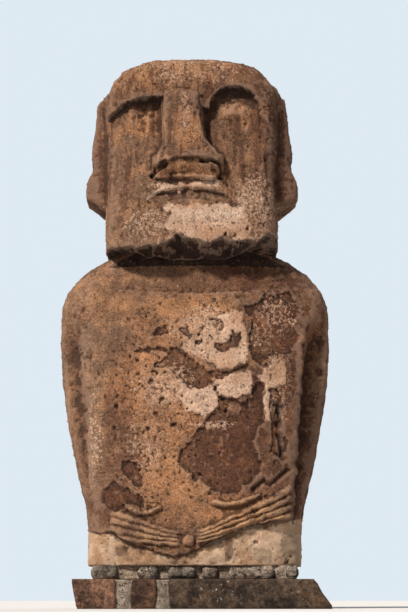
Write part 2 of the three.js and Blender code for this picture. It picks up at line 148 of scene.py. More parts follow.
@dataclass(frozen=True)
class StoneNoise:
    """Repeatable lattice noise, the same in every run."""

    seed: int
    pit_radius: float = 0.18
    pit_spread: float = 0.3
    pit_core: float = 0.35

    def lattice(self, cell: Array, salt: int = 0) -> Array:
        """A number for each cell of the lattice.

        Args:
            cell: Whole-number places on three axes.
            salt: Picks another pattern.

        Returns:
            Numbers from 0 to 1.
        """
        keys = cell.astype(np.int64).astype(np.uint32)
        mixed = keys[..., 0] * np.uint32(0x8DA6B343)
        mixed ^= keys[..., 1] * np.uint32(0xD8163841)
        mixed ^= keys[..., 2] * np.uint32(0xCB1AB31F)
        mixed += np.uint32((self.seed * 7919 + salt * 104729) & 0xFFFFFFFF)
        mixed ^= mixed >> np.uint32(15)
        mixed *= np.uint32(0x2C1B3C6D)
        mixed ^= mixed >> np.uint32(12)
        mixed *= np.uint32(0x297A2D39)
        mixed ^= mixed >> np.uint32(15)
        return mixed.astype(float) / 2.0**32

    def value(self, points: Array, size: float, salt: int = 0) -> Array:
        """Smooth noise.

        Args:
            points: Where to read it.
            size: Width of a lump.
            salt: Picks another pattern.

        Returns:
            Numbers from -1 to 1.
        """
        scaled = points / size
        cell = np.floor(scaled)
        part = scaled - cell
        part = part * part * part * (part * (part * 6.0 - 15.0) + 10.0)
        total = np.zeros(points.shape[:-1])
        for corner in range(8):
            offset = np.array([corner & 1, corner >> 1 & 1, corner >> 2 & 1], dtype=float)
            weight = np.prod(np.where(offset > 0, part, 1.0 - part), axis=-1)
            total += weight * self.lattice(cell + offset, salt)
        return 2.0 * total - 1.0

    def fractal(self, points: Array, size: float, octaves: int = 4, salt: int = 0) -> Array:
        """Layers of noise, each half as large and half as strong as the one before.

        Args:
            points: Where to read it.
            size: Width of the largest lumps.
            octaves: How many layers.
            salt: Picks another pattern.

        Returns:
            Numbers from -1 to 1.
        """
        total = np.zeros(points.shape[:-1])
        for octave in range(octaves):
            total += self.value(points, size / 2.0**octave, salt + octave) / 2.0**octave
        return total / (2.0 - 2.0 ** (1 - octaves))

    def pits(self, points: Array, size: float, share: float, salt: int = 0) -> Array:
        """Round hollows, one at most in each cell.

        Args:
            points: Where to read them.
            size: Width of a cell.
            share: The share of cells that hold one.
            salt: Picks another pattern.

        Returns:
            1 at a hollow's middle, 0 outside it.
        """
        scaled = points / size
        cell = np.floor(scaled)
        best = np.zeros(points.shape[:-1])
        for step in np.ndindex(3, 3, 3):
            other = cell + np.array(step, dtype=float) - 1.0
            jitter = np.stack([self.lattice(other, salt + 11 + k) for k in range(3)], axis=-1)
            radius = self.pit_radius + self.pit_spread * self.lattice(other, salt + 21)
            present = self.lattice(other, salt + 31) < share
            distance = np.linalg.norm(scaled - other - jitter, axis=-1)
            best = np.maximum(best, present * (1.0 - smooth(distance / radius, self.pit_core, 1.0)))
        return best


# --- where the weathering and the painted shade lie
class Mark(Enum):
    """What a mesh stores for its material to read, by the attribute's name."""

    BARE = "bare"
    PALE = "pale"
    MORTARED = "mortared"
    OCHRE = "ochre"
    UMBER = "umber"
    GREY = "grey"
    FLECKED = "flecked"
    FINGERED = "fingered"
    STREAKED = "streaked"
    SOOTED = "sooted"
    BLACKENED = "blackened"
    BAND = "band"
    HOLLOW = "hollow"
    TONE = "tone"


@dataclass(frozen=True)
class Blotch:
    """A soft oval of colour on the figure's front."""

    x: float
    height: float
    reach_x: float
    reach_height: float
    strength: float = 1.0
    core: float = 0.35
    rim: float = 1.25

    def weight(self, x: Array, height: Array) -> Array:
        """Strength at each place, full at the middle and none past the rim."""
        far = np.hypot((x - self.x) / self.reach_x, (height - self.height) / self.reach_height)
        return self.strength * (1.0 - smooth(far, self.core, self.rim))


def on_front(points: Array) -> Array:
    """1 on the figure's front, 0 on its sides and its back."""
    return smooth(-points[..., 1], 0.10, 0.25)


# Outlines are (x, height above the underside) on the figure's front, in metres.
BARE_PATCHES: tuple[Outline, ...] = (
    # the long fall of bare rock on the left breast
    (
        (0.50, 2.52), (0.55, 2.40), (0.53, 2.24), (0.54, 1.97), (0.64, 1.93), (0.78, 2.05),
        (0.94, 2.08), (1.02, 2.24), (0.96, 2.40), (1.03, 2.55), (0.93, 2.70), (0.80, 2.62),
        (0.70, 2.67), (0.62, 2.56),
    ),
    # the broad bare belly
    (
        (0.23, 1.61), (0.25, 1.51), (0.12, 1.41), (-0.12, 1.10), (-0.17, 0.98), (-0.09, 0.87),
        (0.19, 0.75), (0.24, 0.65), (0.40, 0.69), (0.58, 0.83), (0.64, 0.98), (0.56, 1.20),
        (0.68, 1.38), (0.66, 1.60), (0.68, 1.75), (0.58, 1.78), (0.55, 1.64), (0.46, 1.59),
    ),
    # the winding band across the chest
    (
        (-0.59, 2.07), (-0.48, 2.11), (-0.33, 2.14), (-0.19, 2.11), (0.01, 1.98), (0.22, 1.87),
        (0.33, 1.87), (0.46, 1.94), (0.55, 1.99), (0.55, 1.90), (0.40, 1.86), (0.20, 1.79),
        (0.08, 1.70), (-0.03, 1.70), (-0.18, 1.81), (-0.26, 1.88), (-0.37, 1.91), (-0.44, 1.84),
        (-0.39, 1.93), (-0.29, 2.03), (-0.40, 2.06),
    ),
    # chips in the breast
    ((0.15, 2.39), (0.26, 2.39), (0.29, 2.26), (0.23, 2.25)),
    ((0.37, 2.27), (0.44, 2.25), (0.43, 2.12), (0.30, 2.07), (0.17, 2.09), (0.20, 2.15), (0.36, 2.16)),
    ((-0.01, 2.19), (0.10, 2.19), (0.09, 2.14), (0.01, 2.14)),
    ((-0.15, 2.29), (-0.07, 2.33), (-0.01, 2.24), (-0.05, 2.20)),
    ((-0.40, 2.31), (-0.30, 2.32), (-0.26, 2.26), (-0.33, 2.21), (-0.41, 2.24)),
    # rough places over the right hand and on the right flank
    (
        (-0.91, 0.75), (-0.80, 0.79), (-0.65, 0.74), (-0.46, 0.59), (-0.49, 0.54),
        (-0.62, 0.57), (-0.74, 0.51), (-0.94, 0.58),
    ),
    ((-0.70, 1.00), (-0.53, 1.01), (-0.50, 0.75), (-0.55, 0.74), (-0.69, 0.87)),
    # the left flank, inside the arm
    (
        (0.73, 1.70), (0.80, 1.70), (0.85, 1.59), (0.82, 1.29), (0.92, 1.20),
        (0.87, 0.98), (0.72, 1.05), (0.74, 1.29),
    ),
)
PALE_PATCHES: tuple[Outline, ...] = (
    # the breast between the bare places
    (
        (-0.12, 2.10), (-0.04, 2.20), (0.09, 2.27), (0.14, 2.40), (0.28, 2.47), (0.39, 2.50),
        (0.47, 2.46), (0.51, 2.32), (0.52, 2.10), (0.54, 1.98), (0.39, 1.90), (0.22, 1.90),
        (0.03, 2.00),
    ),
    ((-0.14, 1.75), (0.08, 1.71), (0.20, 1.75), (0.24, 1.56), (0.10, 1.42), (-0.08, 1.47), (-0.17, 1.62)),
    ((0.19, 1.80), (0.36, 1.85), (0.55, 1.90), (0.57, 1.77), (0.55, 1.65), (0.40, 1.60), (0.19, 1.66)),
    ((0.31, 1.57), (0.44, 1.57), (0.46, 1.48), (0.32, 1.45)),
    ((0.60, 2.47), (0.68, 2.45), (0.74, 2.34), (0.70, 2.27), (0.61, 2.37)),
    (
        (0.78, 2.02), (0.87, 1.99), (0.92, 1.86), (0.89, 1.76), (0.76, 1.72), (0.80, 1.60),
        (0.74, 1.36), (0.67, 1.40), (0.68, 1.75), (0.62, 1.82), (0.69, 1.92),
    ),
    # chin and jaw
    (
        (-0.33, 3.50), (-0.05, 3.54), (0.36, 3.52), (0.48, 3.52), (0.54, 3.42), (0.58, 3.28),
        (0.50, 3.12), (0.31, 3.12), (0.07, 3.14), (-0.16, 3.20), (-0.30, 3.31), (-0.26, 3.42),
    ),
    # upper lip
    (
        (-0.50, 3.60), (-0.30, 3.71), (-0.06, 3.765), (0.24, 3.77), (0.27, 3.685), (-0.05, 3.67),
        (-0.30, 3.625), (-0.48, 3.56),
    ),
)
MORTARED_PATCHES: tuple[Outline, ...] = (
    ((0.84, 0.32), (0.94, 0.34), (1.05, 0.30), (1.05, 0.0), (0.86, 0.0), (0.82, 0.14)),
    ((0.57, 0.15), (0.64, 0.17), (0.74, 0.13), (0.75, 0.05), (0.57, 0.05)),
)
SOOT_AND_SHADE_PATCHES: tuple[Outline, ...] = (
    # painted shade under the arched brow
    (
        (0.17, 4.40), (0.20, 4.56), (0.30, 4.68), (0.43, 4.71), (0.56, 4.68), (0.66, 4.58),
        (0.68, 4.48), (0.60, 4.56), (0.50, 4.61), (0.40, 4.61), (0.30, 4.56), (0.24, 4.45),
    ),
    # the crack down the left flank
    ((0.77, 1.58), (0.85, 1.57), (0.87, 1.32), (0.90, 1.06), (0.83, 1.02), (0.79, 1.25)),
    # stains on the smooth band
    ((-0.74, 0.21), (-0.65, 0.20), (-0.64, 0.09), (-0.73, 0.10)),
    ((0.27, 0.27), (0.35, 0.30), (0.41, 0.22), (0.39, 0.09), (0.30, 0.05)),
)
# Cracks and creases deeper than the pits around them.
GOUGES: tuple[Outline, ...] = (
    ((0.80, 1.55), (0.84, 1.38), (0.82, 1.20), (0.86, 1.03)),
    ((0.56, 0.72), (0.66, 0.80), (0.76, 0.79), (0.88, 0.90)),
)
OCHRE_BLOTCHES = (
    Blotch(-0.58, 4.80, 0.32, 0.20, 0.7),
    Blotch(-0.05, 3.84, 0.36, 0.12, 0.9),
    Blotch(-0.05, 4.97, 0.85, 0.20, 0.75),
    Blotch(-0.25, 0.80, 0.50, 0.45, 0.75),
    Blotch(-0.05, 2.40, 0.55, 0.32, 0.9),
    Blotch(-0.62, 1.65, 0.28, 0.32),
    Blotch(0.45, 0.50, 0.45, 0.22),
    Blotch(-0.20, 1.30, 0.40, 0.30, 0.8),
    Blotch(-0.08, 4.25, 0.16, 0.28, 0.8),
    Blotch(-0.85, 2.55, 0.35, 0.20, 0.5),
    Blotch(1.12, 2.05, 0.12, 0.50, 0.5),
    Blotch(-0.50, 4.35, 0.22, 0.16),
    Blotch(0.50, 4.45, 0.26, 0.14, 0.8),
    Blotch(1.12, 2.45, 0.20, 0.30, 0.6),
    Blotch(-0.30, 1.95, 0.45, 0.30, 0.7),
    Blotch(-0.35, 1.55, 0.35, 0.50, 0.8),
    Blotch(-0.42, 1.95, 0.30, 0.30),
)
# Umber mottle of the stone; the blotches marked below are painted shade instead.
UMBER_AND_SHADE_BLOTCHES = (
    Blotch(1.15, 1.50, 0.40, 1.30, 0.75),
    Blotch(0.85, 2.45, 0.45, 0.35),
    # painted shade of the head on the neck
    Blotch(0.55, 2.82, 0.22, 0.25),
    # painted shade on the left ear and the cheek beside it
    Blotch(0.78, 3.95, 0.25, 0.55, 0.5),
    Blotch(1.00, 3.90, 0.20, 0.65),
    Blotch(-1.02, 3.85, 0.14, 0.45, 0.8),
    # painted shade on the nose's left flank
    Blotch(0.13, 4.62, 0.07, 0.18, 0.7),
    Blotch(0.95, 2.85, 0.32, 0.28, 0.9),
    Blotch(-0.72, 2.00, 0.16, 0.30, 0.35),
    Blotch(0.55, 1.55, 0.30, 0.50, 0.8),
    Blotch(0.90, 1.90, 0.14, 0.60, 0.9),
    Blotch(0.78, 1.00, 0.26, 0.45, 0.7),
    Blotch(-0.75, 1.05, 0.26, 0.30, 0.55),
    Blotch(-1.20, 2.20, 0.12, 0.50, 0.4),
    Blotch(0.45, 1.10, 0.45, 0.50, 0.9),
    Blotch(-0.82, 0.62, 0.30, 0.22, 0.75),
    Blotch(-0.80, 1.45, 0.10, 0.45, 0.8),
    Blotch(-0.62, 0.95, 0.15, 0.25, 0.6),
    Blotch(-1.12, 1.30, 0.10, 0.90, 0.5),
    Blotch(0.80, 3.12, 0.14, 0.14),
    # painted shade under the chin, across the neck
    Blotch(0.45, 2.92, 0.40, 0.14),
    Blotch(0.45, 2.80, 0.55, 0.20, 0.7),
    Blotch(-0.25, 2.72, 0.45, 0.10, 0.45),
    Blotch(0.90, 2.62, 0.34, 0.30, 0.8),
    Blotch(-0.70, 1.45, 0.14, 0.50, 0.6),
    Blotch(0.75, 4.30, 0.22, 0.40, 0.6),
    Blotch(0.60, 4.86, 0.30, 0.18, 0.75),
    # painted shade low on the left arm
    Blotch(1.00, 0.60, 0.20, 0.40),
)
# Where pale flecks of the old skin are left, thick in the middle of each and thin outside.
FLECKED_BLOTCHES = (
    Blotch(-0.10, 3.705, 0.42, 0.055),
    Blotch(0.60, 3.48, 0.28, 0.38, 0.66),
    Blotch(-0.45, 3.30, 0.28, 0.20, 0.55),
    Blotch(0.62, 3.22, 0.22, 0.18, 0.62),
    Blotch(0.80, 2.46, 0.26, 0.24, 0.5),
    Blotch(-0.05, 4.93, 0.75, 0.20, 0.32),
    Blotch(0.66, 2.30, 0.16, 0.28, 0.4),
    Blotch(0.05, 2.32, 0.38, 0.24, 0.7),
    Blotch(-0.30, 1.72, 0.32, 0.30, 0.75),
    Blotch(-0.45, 1.20, 0.22, 0.40, 0.5),
    Blotch(0.82, 1.75, 0.16, 0.42, 0.4),
    Blotch(-0.97, 1.25, 0.08, 0.60, 0.45),
    Blotch(0.18, 1.34, 0.26, 0.05, 0.65),
    Blotch(-0.10, 4.45, 0.08, 0.22, 0.7),
)
GREY_BLOTCHES = (
    Blotch(-0.95, 2.30, 0.40, 0.60, 0.6),
    Blotch(-0.95, 1.30, 0.30, 0.80, 0.7),
    Blotch(-0.05, 3.60, 0.55, 0.09),
    Blotch(-0.05, 3.86, 0.42, 0.11, 0.4),
    Blotch(-0.62, 3.95, 0.25, 0.45, 0.6),
    Blotch(-0.30, 2.00, 0.35, 0.15, 0.7),
)


# --- the figure's form
# Torso rows are shares of the torso's height and the shoulders' half width, head rows are shares
# of the head's height and the face's half width: height, half width, front and back depth,
# squareness of the outline, and how far the section's front droops.
SectionRow = tuple[float, float, float, float, float, float]
TORSO_ROWS: tuple[SectionRow, ...] = (
    (0.000, 0.773, 0.474, 0.385, 4.5, 0.0),
    (0.106, 0.778, 0.504, 0.400, 4.2, 0.0),
    (0.168, 0.790, 0.519, 0.410, 3.8, 0.0),
    (0.245, 0.832, 0.533, 0.415, 3.2, 0.0),
    (0.345, 0.886, 0.533, 0.420, 2.8, 0.0),
    (0.500, 0.950, 0.515, 0.425, 2.6, 0.0),
    (0.658, 0.994, 0.485, 0.430, 2.5, 0.0),
    (0.761, 1.000, 0.455, 0.430, 2.5, 0.0),
    (0.826, 0.994, 0.435, 0.425, 2.5, 0.0),
    (0.868, 0.967, 0.415, 0.415, 2.6, 0.0),
    (0.900, 0.925, 0.400, 0.405, 2.5, 0.0),
    (0.926, 0.875, 0.385, 0.395, 2.5, 0.0),
    (0.948, 0.815, 0.370, 0.385, 2.5, 0.0),
    (0.968, 0.745, 0.355, 0.370, 2.6, 0.0),
    (0.984, 0.665, 0.340, 0.355, 2.8, 0.0),
    (1.000, 0.600, 0.325, 0.345, 3.2, 0.0),
)
HEAD_ROWS: tuple[SectionRow, ...] = (
    (0.005, 0.970, 0.700, 0.550, 4.0, 0.040),
    (0.010, 1.000, 0.840, 0.560, 4.5, 0.075),
    (0.030, 1.005, 0.872, 0.570, 4.8, 0.060),
    (0.070, 1.005, 0.880, 0.580, 5.0, 0.030),
    (0.150, 1.005, 0.875, 0.590, 5.0, 0.0),
    (0.300, 1.010, 0.850, 0.590, 5.0, 0.0),
    (0.450, 1.020, 0.810, 0.590, 5.0, 0.0),
    (0.600, 1.035, 0.780, 0.585, 5.0, 0.0),
    (0.700, 1.060, 0.770, 0.575, 4.8, 0.0),
    (0.780, 1.085, 0.770, 0.560, 4.6, 0.0),
    (0.830, 1.060, 0.765, 0.540, 4.4, 0.0),
    (0.870, 0.970, 0.750, 0.510, 4.0, 0.0),
    (0.910, 0.905, 0.720, 0.470, 3.8, 0.0),
    (0.945, 0.800, 0.690, 0.420, 3.4, 0.0),
    (0.975, 0.660, 0.600, 0.340, 3.0, 0.0),
    (0.9925, 0.460, 0.450, 0.240, 2.6, 0.0),
    (1.000, 0.220, 0.180, 0.120, 2.2, 0.0),
)


@dataclass(frozen=True)
class Nose:
    """A broad ridge that widens and rises to its tip, over a lower block with curled nostrils."""

    root: float = 4.70
    tip: float = 3.955
    base: float = 3.755
    middle: float = -0.090
    lean: float = 0.055
    half_width: float = 0.235
    flare: float = 0.030
    wings: float = 0.105
    roundness: float = 0.45
    root_rise: float = 0.110
    root_fade: float = 0.05
    tip_rise: float = 0.195
    block_rise: float = 0.055
    block_lean: float = 0.090
    wing_drop: float = 0.145
    sink: float = 0.160
    nostril_depth: float = 0.075
    nostril_reach: float = 0.034
    nostrils: tuple[Outline, ...] = (
        ((-0.385, 3.805), (-0.34, 3.855), (-0.25, 3.912)),
        ((0.10, 3.935), (0.20, 3.925), (0.27, 3.895), (0.29, 3.83), (0.275, 3.79)),
    )

    def raised(self, rise: Array | float, share: Array) -> Array:
        """Lifts from the sunk foot to a rise, by a share from 0 to 1."""
        return (rise + self.sink) * share - self.sink

    def rise(self, x: Array, height: Array) -> Array:
        """How far the nose stands out from the face; it sinks under the face round its foot.

        Args:
            x: Places across.
            height: Places up.

        Returns:
            The nose's rise, with the sunk foot round it.
        """
        down = np.clip((self.root - height) / (self.root - self.tip), 0.0, 1.0)
        aside = np.abs(x - self.middle - self.lean * smooth(down, 0.4, 1.0))
        half_width = self.half_width + self.flare * smooth(down, 0.30, 0.75)
        half_width = half_width + self.wings * smooth(down, 0.70, 1.0)
        top = self.root_rise + (self.tip_rise - self.root_rise) * down - self.roundness * aside**2
        top = top - self.root_fade * smooth(height, self.root - 0.08, self.root + 0.04)
        edge = self.tip - self.wing_drop * smooth(aside, 0.10, 0.36)
        is_tip = smooth(height, edge - 0.030, edge + 0.015)
        is_upper = 1.0 - smooth(down, 0.15, 0.55)
        inner = half_width - 0.075 - is_upper * np.where(x > self.middle, 0.040, 0.0)
        outer = half_width + 0.015 + is_upper * np.where(x > self.middle, 0.120, 0.025)
        bridge = self.raised(top, is_tip * (1.0 - smooth(aside, inner, outer)))
        foot = self.base + 0.05 * smooth(aside, 0.28, 0.40)
        is_block = smooth(height, foot - 0.015, foot + 0.020)
        is_block = is_block * (1.0 - smooth(aside, 0.330, 0.400))
        leaning = self.block_lean * smooth(height, self.base, self.tip)
        drop = self.block_rise + leaning - 0.025 * smooth(aside, 0.22, 0.40)
        block = np.where(height < self.tip + 0.05, self.raised(drop, is_block), -self.sink)
        return np.where(height < self.root + 0.2, np.maximum(bridge, block), -self.sink)

    def nostril_cut(self, x: Array, height: Array) -> Array:
        """Depth of the curled nostrils."""
        near = np.minimum.reduce([stroke_distance(x, height, line) for line in self.nostrils])
        return self.nostril_depth * (1.0 - smooth(near, 0.006, self.nostril_reach))


@dataclass(frozen=True)
class Mouth:
    """A full upper lip over a shallow sunk band, along an arch that droops at its corners."""

    height: float = 3.685
    middle: float = -0.03
    half_width: float = 0.52
    sag: float = 0.125
    droop: float = 1.7
    sink: float = 0.014
    lip: float = 0.022

    def rise(self, x: Array, height: Array) -> Array:
        """Lip out, mouth in.

        Args:
            x: Places across.
            height: Places up.

        Returns:
            How far the lip stands out, negative in the mouth.
        """
        aside = np.abs(x - self.middle)
        off = height - (self.height - self.sag * (aside / self.half_width) ** self.droop)
        along = within(aside, 0.0, self.half_width * 0.72, self.half_width * 0.35)
        lip = self.lip * within(off, 0.010, 0.110, 0.030) * (1.0 - smooth(aside, 0.22, 0.44))
        return along * (lip - self.sink * within(off, -0.100, -0.015, 0.022))


@dataclass(frozen=True)
class Hand:
    """A fan of long fingers that lies on the belly and closes towards the navel."""

    wrist_x: float
    tip_x: float
    wrist_low: float
    wrist_high: float
    tip_low: float
    tip_high: float
    thumb: Outline
    rise: float
    fingers: int = 4
    web: float = 0.20
    thumb_radius: float = 0.026

    def depth(self, x: Array, height: Array) -> Array:
        """The fingers and the thumb.

        Args:
            x: Places across.
            height: Places up.

        Returns:
            How far they stand out from the belly.
        """
        along = (x - self.wrist_x) / (self.tip_x - self.wrist_x)
        eased = np.clip(along, 0.0, 1.0) ** 0.85
        low = self.wrist_low + (self.tip_low - self.wrist_low) * eased
        high = self.wrist_high + (self.tip_high - self.wrist_high) * eased
        across = (height - low) / (high - low)
        ridge = np.abs(np.sin(math.pi * self.fingers * across)) ** 0.75
        inside = within(across, 0.0, 1.0, 0.03) * within(along, 0.0, 1.0, 0.08)
        fan = inside * (self.web + (1.0 - self.web) * ridge)
        off_thumb = np.clip(stroke_distance(x, height, self.thumb) / self.thumb_radius, 0.0, 1.0)
        return self.rise * np.maximum(fan, np.sqrt(1.0 - off_thumb**2))


@dataclass(frozen=True)
class Eye:
    """A worn eye, raised from the floor of its socket."""

    x: float
    height: float
    reach_x: float
    reach_height: float
    rise: float

    def lift(self, x: Array, height: Array) -> Array:
        """How far the eye stands out from its socket."""
        far = np.hypot((x - self.x) / self.reach_x, (height - self.height) / self.reach_height)
        return self.rise * (1.0 - smooth(far, 0.25, 1.1))


@dataclass(frozen=True)
class Carving:
    """Everything cut into the block's front and sides."""

    slanted_brow: Outline = (
        (-0.90, 4.37), (-0.78, 4.455), (-0.65, 4.545), (-0.51, 4.595), (-0.38, 4.605), (-0.30, 4.59),
    )
    brow_projection: float = 0.080
    bridge_drop: float = 0.02
    arch_middle: float = 0.43
    arch_foot: float = 4.48
    arch_height: float = 0.24
    arch_half_width: float = 0.25
    arch_fall: float = 0.30
    socket_reach: float = 0.36
    slanted_depth: float = 0.022
    slanted_inner_depth: float = 0.028
    arched_depth: float = 0.050
    arched_outer_loss: float = 0.030
    eyes: tuple[Eye, ...] = (
        Eye(-0.560, 4.400, 0.230, 0.110, rise=0.022),
        Eye(0.440, 4.480, 0.190, 0.105, rise=0.045),
    )
    nose: Nose = Nose()
    mouth: Mouth = Mouth()
    right_hand: Hand = Hand(
        wrist_x=-0.78, tip_x=-0.17, wrist_low=0.225, wrist_high=0.545, tip_low=0.185, tip_high=0.32,
        thumb=((-0.68, 0.60), (-0.61, 0.53), (-0.50, 0.50), (-0.42, 0.51), (-0.34, 0.55)),
        rise=0.026,
    )
    left_hand: Hand = Hand(
        wrist_x=0.90, tip_x=0.07, wrist_low=0.435, wrist_high=0.76, tip_low=0.215, tip_high=0.345,
        thumb=((0.62, 0.67), (0.50, 0.62), (0.39, 0.585), (0.28, 0.575), (0.19, 0.595)),
        rise=0.035,
    )
    navel_x: float = -0.055
    navel_height: float = 0.232
    navel_radius: float = 0.055
    navel_rise: float = 0.045
    arm_edge: float = 0.690
    arm_outward: float = 0.07
    # of the right arm, then of the left
    arm_step: tuple[float, float] = (0.035, 0.045)
    arm_softness: tuple[float, float] = (0.11, 0.03)
    arm_slope: tuple[float, float] = (0.35, 1.05)
    collar_height: float = 2.700
    collar_sag: float = 0.045
    neck_recess: float = 0.018
    skirt_line: Outline = (
        (-1.05, 0.34), (-0.91, 0.30), (-0.80, 0.32), (-0.62, 0.21), (-0.43, 0.15), (-0.19, 0.09),
        (-0.05, 0.12), (0.05, 0.18), (0.29, 0.30), (0.62, 0.39), (0.86, 0.44), (1.05, 0.45),
    )
    skirt_recess: float = 0.026
    skirt_fray: float = 0.018
    hand_fray: float = 0.014
    chin_break: Outline = (
        (-0.86, 3.07), (-0.52, 3.08), (-0.22, 3.13), (-0.11, 3.22), (-0.03, 3.15), (0.10, 3.11),
        (0.28, 3.18), (0.41, 3.11), (0.66, 3.16), (0.75, 3.21), (0.86, 3.20),
    )
    chin_fray: float = 0.055
    chin_undercut: float = 1.9
    chin_reach: float = 0.12
    ear_thickness: float = 0.060
    ear_growth: float = 0.075
    lobe_growth: float = 0.070

    def brow_edge(self, x: Array) -> Array:
        """The brow's lower edge: a slant over one eye, a rounder arch over the other.

        Args:
            x: Places across.

        Returns:
            The edge's height at each place.
        """
        root = self.nose.root - self.bridge_drop
        slant = along_line(x, self.slanted_brow)
        slant = slant + (root - slant) * smooth(x, -0.30, -0.18)
        off_arch = np.clip(np.abs(x - self.arch_middle) / self.arch_half_width, 0.0, 1.0)
        arch = self.arch_foot + self.arch_height * np.sqrt(1.0 - off_arch**2)
        arch = arch - self.arch_fall * smooth(x, 0.66, 0.86)
        return np.where(x < -0.10, slant, np.where(x < 0.0, root, arch))

    def face(self, x: Array, height: Array, ragged: Array) -> Array:
        """Brows, eyes, nose, mouth and the broken rim of the chin.

        Args:
            x: Places across, from the head's middle.
            height: Places up from the underside.
            ragged: Small noise that frays the chin's broken rim.

        Returns:
            How far the face stands out from the plain section.
        """
        below = self.brow_edge(x) - height
        # the brow stands out less at the temples and over the arched socket
        side = 1.0 - 0.6 * smooth(np.abs(x), 0.72, 0.90) - 0.35 * smooth(-x, 0.20, 0.45)
        side = side - 0.38 * smooth(x, 0.02, 0.22) - 0.20 * smooth(x, 0.56, 0.72)
        brow = self.brow_projection * side * (1.0 - smooth(below, -0.030, 0.015))
        brow = brow * (1.0 - smooth(height, 4.96, 5.08))
        slanted = self.slanted_depth + self.slanted_inner_depth * within(x, -0.50, -0.36, 0.10)
        arched = self.arched_depth - self.arched_outer_loss * smooth(x, 0.46, 0.70)
        right_socket = slanted * within(x, -0.86, -0.32, 0.06)
        left_socket = arched * within(x, 0.14, 0.66, 0.08)
        deep = np.where(x < -0.1, right_socket, left_socket)
        reach = self.socket_reach + 0.22 * (1.0 - smooth(x, 0.18, 0.36)) - 0.14 * smooth(x, 0.45, 0.70)
        socket = deep * smooth(below, -0.005, 0.035) * (1.0 - smooth(below, 0.05, reach))
        surface = brow - socket
        for eye in self.eyes:
            surface = surface + eye.lift(x, height)
        surface = np.maximum(surface, self.nose.rise(x, height))
        surface = surface - self.nose.nostril_cut(x, height) + self.mouth.rise(x, height)
        under = np.clip(self.below_chin(x, height, ragged), 0.0, self.chin_reach)
        return surface - self.chin_undercut * under

    def below_chin(self, x: Array, height: Array, ragged: Array) -> Array:
        """Depth under the chin's broken rim."""
        return along_line(x, self.chin_break) + self.chin_fray * ragged - height

    def torso(self, x: Array, height: Array, half_shoulder: float, ragged: Array) -> Array:
        """Arms set back behind a crisp edge, hands, navel, collar and the smooth skirt band.

        Args:
            x: Places across.
            height: Places up from the underside.
            half_shoulder: Half of the shoulders' width.
            ragged: Small noise that frays the band's upper edge.

        Returns:
            How far the torso stands out from the plain section.
        """
        edge = half_shoulder * self.arm_edge + self.arm_outward * height
        is_right = x < 0.0
        edge = edge + np.where(is_right, 0.02, 0.0) + 0.03 * ragged
        past = np.abs(x) - edge
        softness = np.where(is_right, *self.arm_softness)
        step = np.where(is_right, *self.arm_step) * smooth(past, -0.01, softness)
        slope = np.where(is_right, *self.arm_slope) * np.clip(past, 0.0, 0.26)
        arm = (step + slope) * smooth(height, 0.25, 0.75)
        arm = arm * (1.0 - smooth(height, 2.05, 2.50))
        collar = self.collar_height - self.collar_sag * (1.0 - (x / 0.7) ** 2)
        neck = self.neck_recess * smooth(height, collar - 0.01, collar + 0.02)
        neck = neck * (1.0 - smooth(np.abs(x), 0.6, 0.9))
        hands = self.hands(x, height, ragged)
        far = np.hypot(x - self.navel_x, height - self.navel_height) / self.navel_radius
        far = np.clip(far, 0.0, 1.0)
        knob = self.navel_rise * np.sqrt(1.0 - far**2)
        above = self.above_skirt(x, height, ragged)
        skirt = self.skirt_recess * (1.0 - smooth(above, -0.006, 0.008))
        return np.maximum(hands, knob) * smooth(above, -0.01, 0.01) - arm - neck - skirt

    def hands(self, x: Array, height: Array, ragged: Array) -> Array:
        """How far the hands stand out, with worn edges."""
        shaken = height + self.hand_fray * ragged
        return np.maximum(self.right_hand.depth(x, shaken), self.left_hand.depth(x, shaken))

    def above_skirt(self, x: Array, height: Array, ragged: Array) -> Array:
        """Height above the smooth band's upper edge."""
        return height - along_line(x, self.skirt_line) + self.skirt_fray * ragged

    def ear(self, y: Array, height: Array) -> Array:
        """Long ears: slabs on the sides of the head that thicken down to the lobes.

        Args:
            y: Places from front to back.
            height: Places up.

        Returns:
            How far the ears stand out from the head.
        """
        reach = smooth(y, -0.46, -0.33) * (1.0 - smooth(y, 0.06, 0.15))
        upper = 1.0 - smooth(height, 4.50, 4.80)
        growth = self.ear_thickness + self.ear_growth * (1.0 - smooth(height, 4.10, 4.60))
        growth = growth + self.lobe_growth * (1.0 - smooth(height, 3.78, 4.00))
        return growth * reach * upper * smooth(height, 3.48, 3.68)


